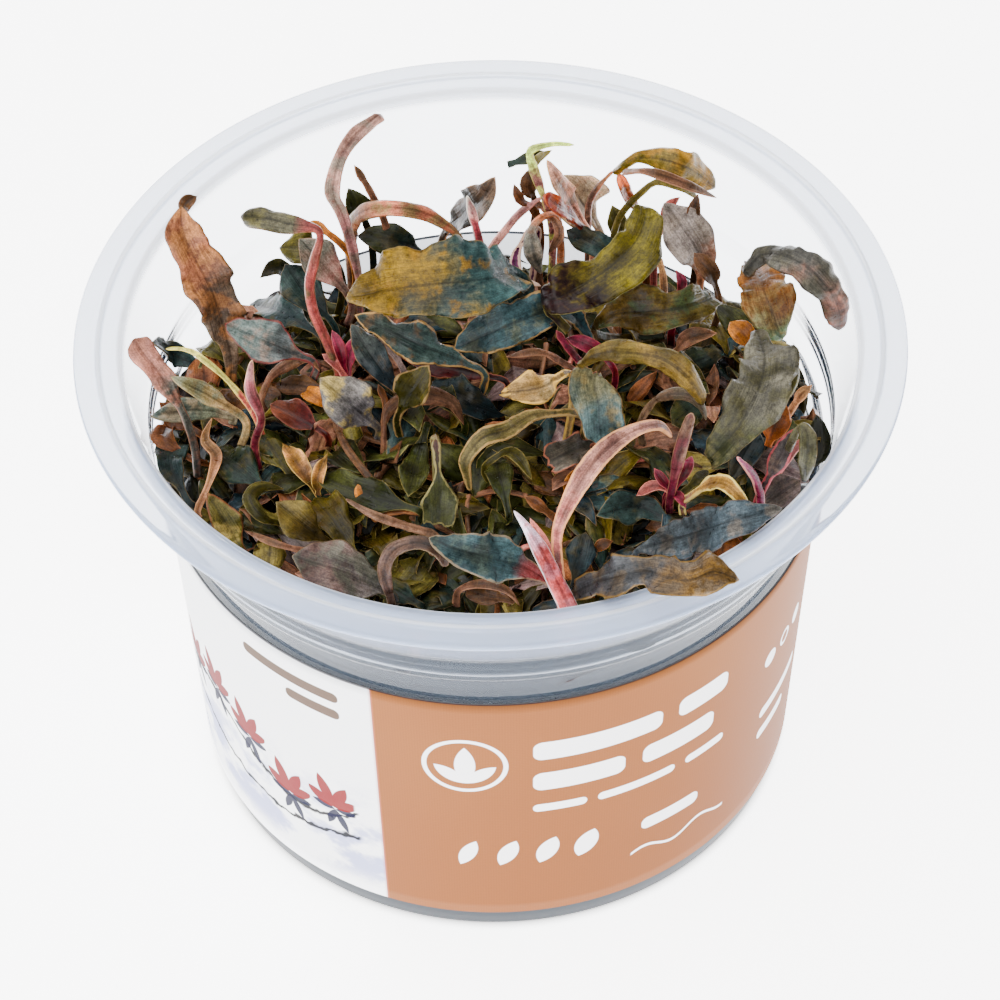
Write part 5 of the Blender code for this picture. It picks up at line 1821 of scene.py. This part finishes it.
@dataclass(frozen=True)
class PaperFinish:
    """Matt paper with a copper print. Places on it are millimetres round to the right of the front, and up.

    Attributes:
        label: the label whose sizes it follows.
        painted_glow: how strongly the paper's inner face glows, a painted glow for the light behind the
            paper.
        panel_left: the left side of the white panel.
        panel_right: its right side.
    """

    label: Label
    painted_glow: float = 2.2
    panel_left: float = -82.0
    panel_right: float = -15.5

    def ink(self, colour: Rgb) -> tuple[float, float, float, float]:
        """The reflectance that shows as a colour on the upright, brightly lit paper."""
        return paint_of(colour, LABEL_LIGHT)

    def bar(self, at: Spot, middle: Pair, size: Pair, round_off: float) -> Socket:
        """A mask of a bar with rounded corners.

        Args:
            at: the place on the paper.
            middle: the bar's middle.
            size: its width and height.
            round_off: the radius of its corners.

        Returns:
            1 on the bar and 0 off it.
        """
        across = abs(at[0] - middle[0]) - (size[0] / 2 - round_off)
        up = abs(at[1] - middle[1]) - (size[1] / 2 - round_off)
        outside = distance_of(across.most(0.0), up.most(0.0))
        return (outside + across.most(up).least(0.0)).below(round_off - 0.06, round_off + 0.08)

    def disc(self, at: Spot, middle: Pair, radius: float) -> Socket:
        """A mask of a disc."""
        reach = distance_of(at[0] - middle[0], at[1] - middle[1])
        return reach.below(radius - 0.07, radius + 0.07)

    def leaf(self, at: Spot, foot: Pair, length: float, width: float, angle: float) -> Socket:
        """A mask of a pointed leaf, where two discs overlap.

        Args:
            at: the place on the paper.
            foot: the leaf's lower end.
            length: its length.
            width: its width.
            angle: how far it is turned from upright, in degrees.

        Returns:
            1 on the leaf and 0 off it.
        """
        turn = math.radians(angle)
        x, z = at[0] - foot[0], at[1] - foot[1]
        along = x * math.sin(turn) + z * math.cos(turn) - length / 2
        across = x * math.cos(turn) - z * math.sin(turn)
        radius = (length**2 / 4 + width**2 / 4) / width
        shift = radius - width / 2
        reach = distance_of(abs(across) + shift, along)
        return reach.below(radius - 0.06, radius + 0.08)

    def material(self) -> bpy.types.Material:
        """Builds the material: the print outside, and inside the paper a painted glow for the light that
        comes through.

        Returns:
            the material.
        """
        graph = Graph("label_paper")
        place = graph.place()
        x, y, z = graph.split(place)
        round_mm = graph.math("ARCTAN2", x, -y) * 41.2
        at = (round_mm, z * 1000.0)
        grain = graph.noise(place, 3000.0, 2.0)
        soft = graph.noise(place, 30.0, 2.0)
        screen = ((at[0] + at[1]) * 9.0).sine() * ((at[0] - at[1]) * 9.0).sine()
        copper = graph.mix(soft.above(0.35, 0.65), (0.228, 0.079, 0.0212, 1.0), (0.212, 0.071, 0.0188, 1.0))
        copper = graph.mix(at[1].below(8.0, 40.0) * 0.6, copper, (0.195, 0.062, 0.0155, 1.0))
        # Painted light: a lighter, pinker glare on the copper towards the right.
        copper = graph.mix(at[0].above(22.0, 60.0) * 0.35, copper, (0.31, 0.17, 0.125, 1.0))
        copper = graph.shaded(copper, 0.88 + grain * 0.14 + screen * 0.07)
        white = graph.mix(soft, (0.9, 0.905, 0.93, 1.0), (0.93, 0.93, 0.95, 1.0))
        inside = at[0].above(self.panel_left - 0.05, self.panel_left + 0.05)
        inside = inside * at[0].below(self.panel_right - 0.05, self.panel_right + 0.05)
        marks = self.white_marks(at)
        copper = graph.mix(marks * 0.97, copper, white)
        panel = self.painted_panel(graph, at, white)
        edge = abs(at[0] - self.panel_right).below(0.1, 0.35)
        # Painted shadow: a thin near-black line along the paper's top edge.
        cut = at[1].above(self.label.top - 0.26, self.label.top - 0.16)
        colour = graph.mix(inside, copper, panel)
        colour = graph.mix(edge * 0.4, colour, self.ink((226, 190, 180)))
        slope = (self.label.cup.body_top - self.label.cup.body_bottom) / (self.label.cup.step - 3.2)
        outside = distance_of(x, y) * 1000.0 - at[1] * slope
        printed = outside.above(self.label.face - 0.1, self.label.face - 0.04)
        colour = graph.mix(printed, (0.93, 0.93, 0.93, 1.0), colour)
        colour = graph.mix(cut * 0.85, colour, (0.02, 0.02, 0.025, 1.0))
        # Painted light: the inner face glows, except along the shadow line at the top.
        values = {
            "Emission Color": graph.mix(printed.most(cut), (1.0, 1.0, 1.0, 1.0), (0.0, 0.0, 0.0, 1.0)),
            "Emission Strength": self.painted_glow,
            "Base Color": colour,
            "Roughness": 0.5 + grain * 0.15,
            "Specular IOR Level": 0.05,
            "Normal": graph.bump(grain + soft * 3.0, 0.12, 0.0001),
        }
        material = graph.surface(values)
        material.cycles.emission_sampling = "NONE"
        return material

    def white_marks(self, at: Spot) -> Socket:
        """The white marks of the copper part: plain bars, leaves, a ring, dots and a wavy line.

        Args:
            at: the place on the paper.

        Returns:
            1 on the marks and 0 off them.
        """
        masks = [
            self.disc(at, (-4.0, 36.0), 5.4) - self.disc(at, (-4.0, 36.0), 4.8),
            self.leaf(at, (-4.0, 32.4), 7.4, 2.6, 0.0),
            self.leaf(at, (-4.0, 32.4), 5.2, 2.0, 48.0),
            self.leaf(at, (-4.0, 32.4), 5.2, 2.0, -48.0),
            self.bar(at, (13.0, 38.6), (17.0, 3.6), 1.2),
            self.bar(at, (28.0, 38.6), (8.0, 3.6), 1.2),
            self.bar(at, (10.5, 32.2), (12.0, 3.6), 1.2),
            self.bar(at, (24.5, 32.2), (11.0, 3.6), 1.2),
            self.bar(at, (8.0, 26.6), (7.0, 1.5), 0.7),
            self.bar(at, (18.5, 26.6), (11.0, 1.5), 0.7),
            self.bar(at, (29.0, 26.6), (6.5, 1.5), 0.7),
        ]
        for step in range(4):
            masks.append(self.leaf(at, (-5.0 + step * 5.2, 14.6), 5.6, 2.1 + 0.3 * step, 22.0))
        for step in range(3):
            middle = (42.0 + step * 4.2, 33.0)
            masks.append(self.disc(at, middle, 1.4) - self.disc(at, middle, 0.9 if step == 1 else 0.0))
        waves = at[1] - 11.2 - (at[0] * 0.7).sine() * 0.8
        line = abs(waves).below(0.18, 0.34) * at[0].above(18.0, 18.3) * at[0].below(33.7, 34.0)
        masks.append(line)
        masks.append(self.bar(at, (24.0, 17.0), (9.0, 2.4), 1.0))
        masks.append(self.bar(at, (47.0, 22.0), (12.0, 1.8), 0.8))
        masks.append(self.bar(at, (45.0, 17.6), (8.0, 1.8), 0.8))
        total = masks[0]
        for mask in masks[1:]:
            total = total.most(mask)
        return total

    def painted_panel(self, graph: Graph, at: Spot, white: Socket) -> Socket:
        """The white panel: a soft blue wash low down, thin indigo stems and small red and plum leaves.

        Args:
            graph: the material's graph.
            at: the place on the paper.
            white: the paper's white.

        Returns:
            the panel's colour.
        """
        wash = graph.noise(graph.vector(at[0] * 0.12, at[1] * 0.16, 4.0), 1.0, 4.0, 0.6)
        low = wash.above(0.44, 0.6) * at[1].below(14.0, 30.0) * at[1].above(4.0, 9.0)
        colour = graph.mix(low * 0.7, white, self.ink((196, 202, 226)))
        wander = graph.noise(graph.vector(at[0] * 0.5, at[1] * 0.5, 9.0), 1.0, 2.0) * 2.2
        for level, speed, reach in ((22.0, 0.16, 4.0), (17.0, 0.11, 3.0)):
            sweep = at[1] + wander - level - ((at[0] + 18.0) * speed).sine() * reach
            stem = abs(sweep).below(0.2, 0.55) * at[0].above(-70.0, -66.0) * at[0].below(-19.0, -18.4)
            colour = graph.mix(stem * 0.98, colour, self.ink((58, 44, 84)))
        step = graph.math("ROUND", (at[0] + 22.5) / 7.4)
        middle = step * 7.4 - 22.5
        foot = at[1] - 22.8 - ((middle + 18.0) * 0.16).sine() * 4.0
        local = (at[0] - middle, foot - (step * 2.1).sine() * 1.2)
        part = at[0].above(-62.0, -60.0) * at[0].below(-19.4, -19.0)
        red, dark = None, None
        for lean, height in ((-58.0, 4.6), (-18.0, 6.4), (24.0, 5.4), (62.0, 4.4)):
            bright = self.leaf(local, (0.0, 0.0), height, 1.9, lean) * part
            red = bright if red is None else red.most(bright)
        for lean, height in ((-84.0, 3.6), (86.0, 3.6), (158.0, 4.6), (-160.0, 3.8)):
            shade = self.leaf(local, (0.3, -0.4), height, 1.2, lean) * part
            dark = shade if dark is None else dark.most(shade)
        colour = graph.mix(dark * 0.97, colour, self.ink((78, 62, 122)))
        colour = graph.mix(red * 0.98, colour, self.ink((196, 52, 84)))
        title = self.bar(at, (-27.5, 44.2), (15.0, 1.9), 0.8)
        title = title.most(self.bar(at, (-24.0, 40.8), (8.0, 1.9), 0.8))
        return graph.mix(title * 0.98, colour, self.ink((172, 150, 132)))


# The studio


@dataclass(frozen=True)
class Studio:
    """A pale floor, even white surroundings and soft lights.

    Attributes:
        floor_size: the floor's side in metres.
        floor_glow: how strongly the floor shines, as a light table does.
        dark_disc: the radius in millimetres of the unlit disc under the cup.
        surroundings: the strength of the light from all round.
    """

    floor_size: float = 6.0
    floor_glow: float = 6.6
    dark_disc: float = 38.2
    surroundings: float = 0.55

    def floor(self) -> None:
        """The floor, faintly mottled, and unlit where the cup stands on it."""
        graph = Graph("studio_floor")
        place = graph.place()
        x, y, _ = graph.split(place)
        soft = graph.noise(place, 3.0, 2.0)
        colour = graph.mix(soft, (0.9, 0.9, 0.9, 1.0), (0.93, 0.93, 0.93, 1.0))
        open_floor = distance_of(x, y).above(self.dark_disc * MM, (self.dark_disc + 2.0) * MM)
        values = {
            "Base Color": colour,
            "Roughness": 0.6 + soft * 0.1,
            "Specular IOR Level": 0.2,
            "Emission Color": graph.shaded(colour, 0.03 + open_floor * 0.97),
            "Emission Strength": self.floor_glow,
        }
        material = graph.surface(values)
        half = self.floor_size / 2
        mesh = bpy.data.meshes.new("floor")
        corners = [(-half, -half, 0), (half, -half, 0), (half, half, 0), (-half, half, 0)]
        mesh.from_pydata(corners, [], [(0, 1, 2, 3)])
        mesh.materials.append(material)
        floor = bpy.data.objects.new("floor", mesh)
        bpy.context.scene.collection.objects.link(floor)

    def light(self, name: str, place: Place, size: float, power: float) -> None:
        """Adds a square soft light that points at the cup.

        Args:
            name: its name.
            place: where it stands, in metres.
            size: its side in metres.
            power: its power in watts.
        """
        data = bpy.data.lights.new(name, "AREA")
        data.size = size
        data.energy = power
        made = bpy.data.objects.new(name, data)
        made.location = place
        back = np.array(place) - np.array([0.0, 0.0, 0.05])
        side = unit(np.cross([0.0, 1.0, 0.0], back))
        turn = Matrix(np.column_stack([side, unit(np.cross(back, side)), unit(back)]).tolist())
        made.rotation_mode = "QUATERNION"
        made.rotation_quaternion = turn.to_quaternion()
        bpy.context.scene.collection.objects.link(made)

    def build(self) -> None:
        """Adds the floor, the surroundings and the lights."""
        self.floor()
        world = bpy.data.worlds.new("surroundings")
        bpy.context.scene.world = world
        world.use_nodes = True
        inputs = world.node_tree.nodes["Background"].inputs
        inputs["Color"].default_value = (1.0, 1.0, 1.0, 1.0)
        inputs["Strength"].default_value = self.surroundings
        self.light("overhead", (-0.25, 0.3, 0.95), 1.2, 16.0)
        self.light("front", (-0.35, -0.8, 0.7), 1.2, 20.0)


def main() -> None:
    """Builds the model and the studio, in order."""
    logging.basicConfig(level=logging.INFO, format="%(message)s")
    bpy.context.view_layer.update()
    slots = (TEAL, OLIVE, GREEN, GREY, RUST, OCHRE, PINK, CRIMSON)
    finishes = {slot: LeafFinish(slot).material() for slot in slots}
    count = MainLeaves(finishes=finishes).build()
    LOG.info("%d main leaves", count)
    Planting(finish=LeafFinish(Slot.THICKET).material()).build()
    LOG.info("planting built")
    cup = Cup()
    cup.build()
    Label(cup).build()
    LOG.info("cup and label built")
    Studio().build()
    ReferenceView().add_camera()


if __name__ == "__main__":
    main()
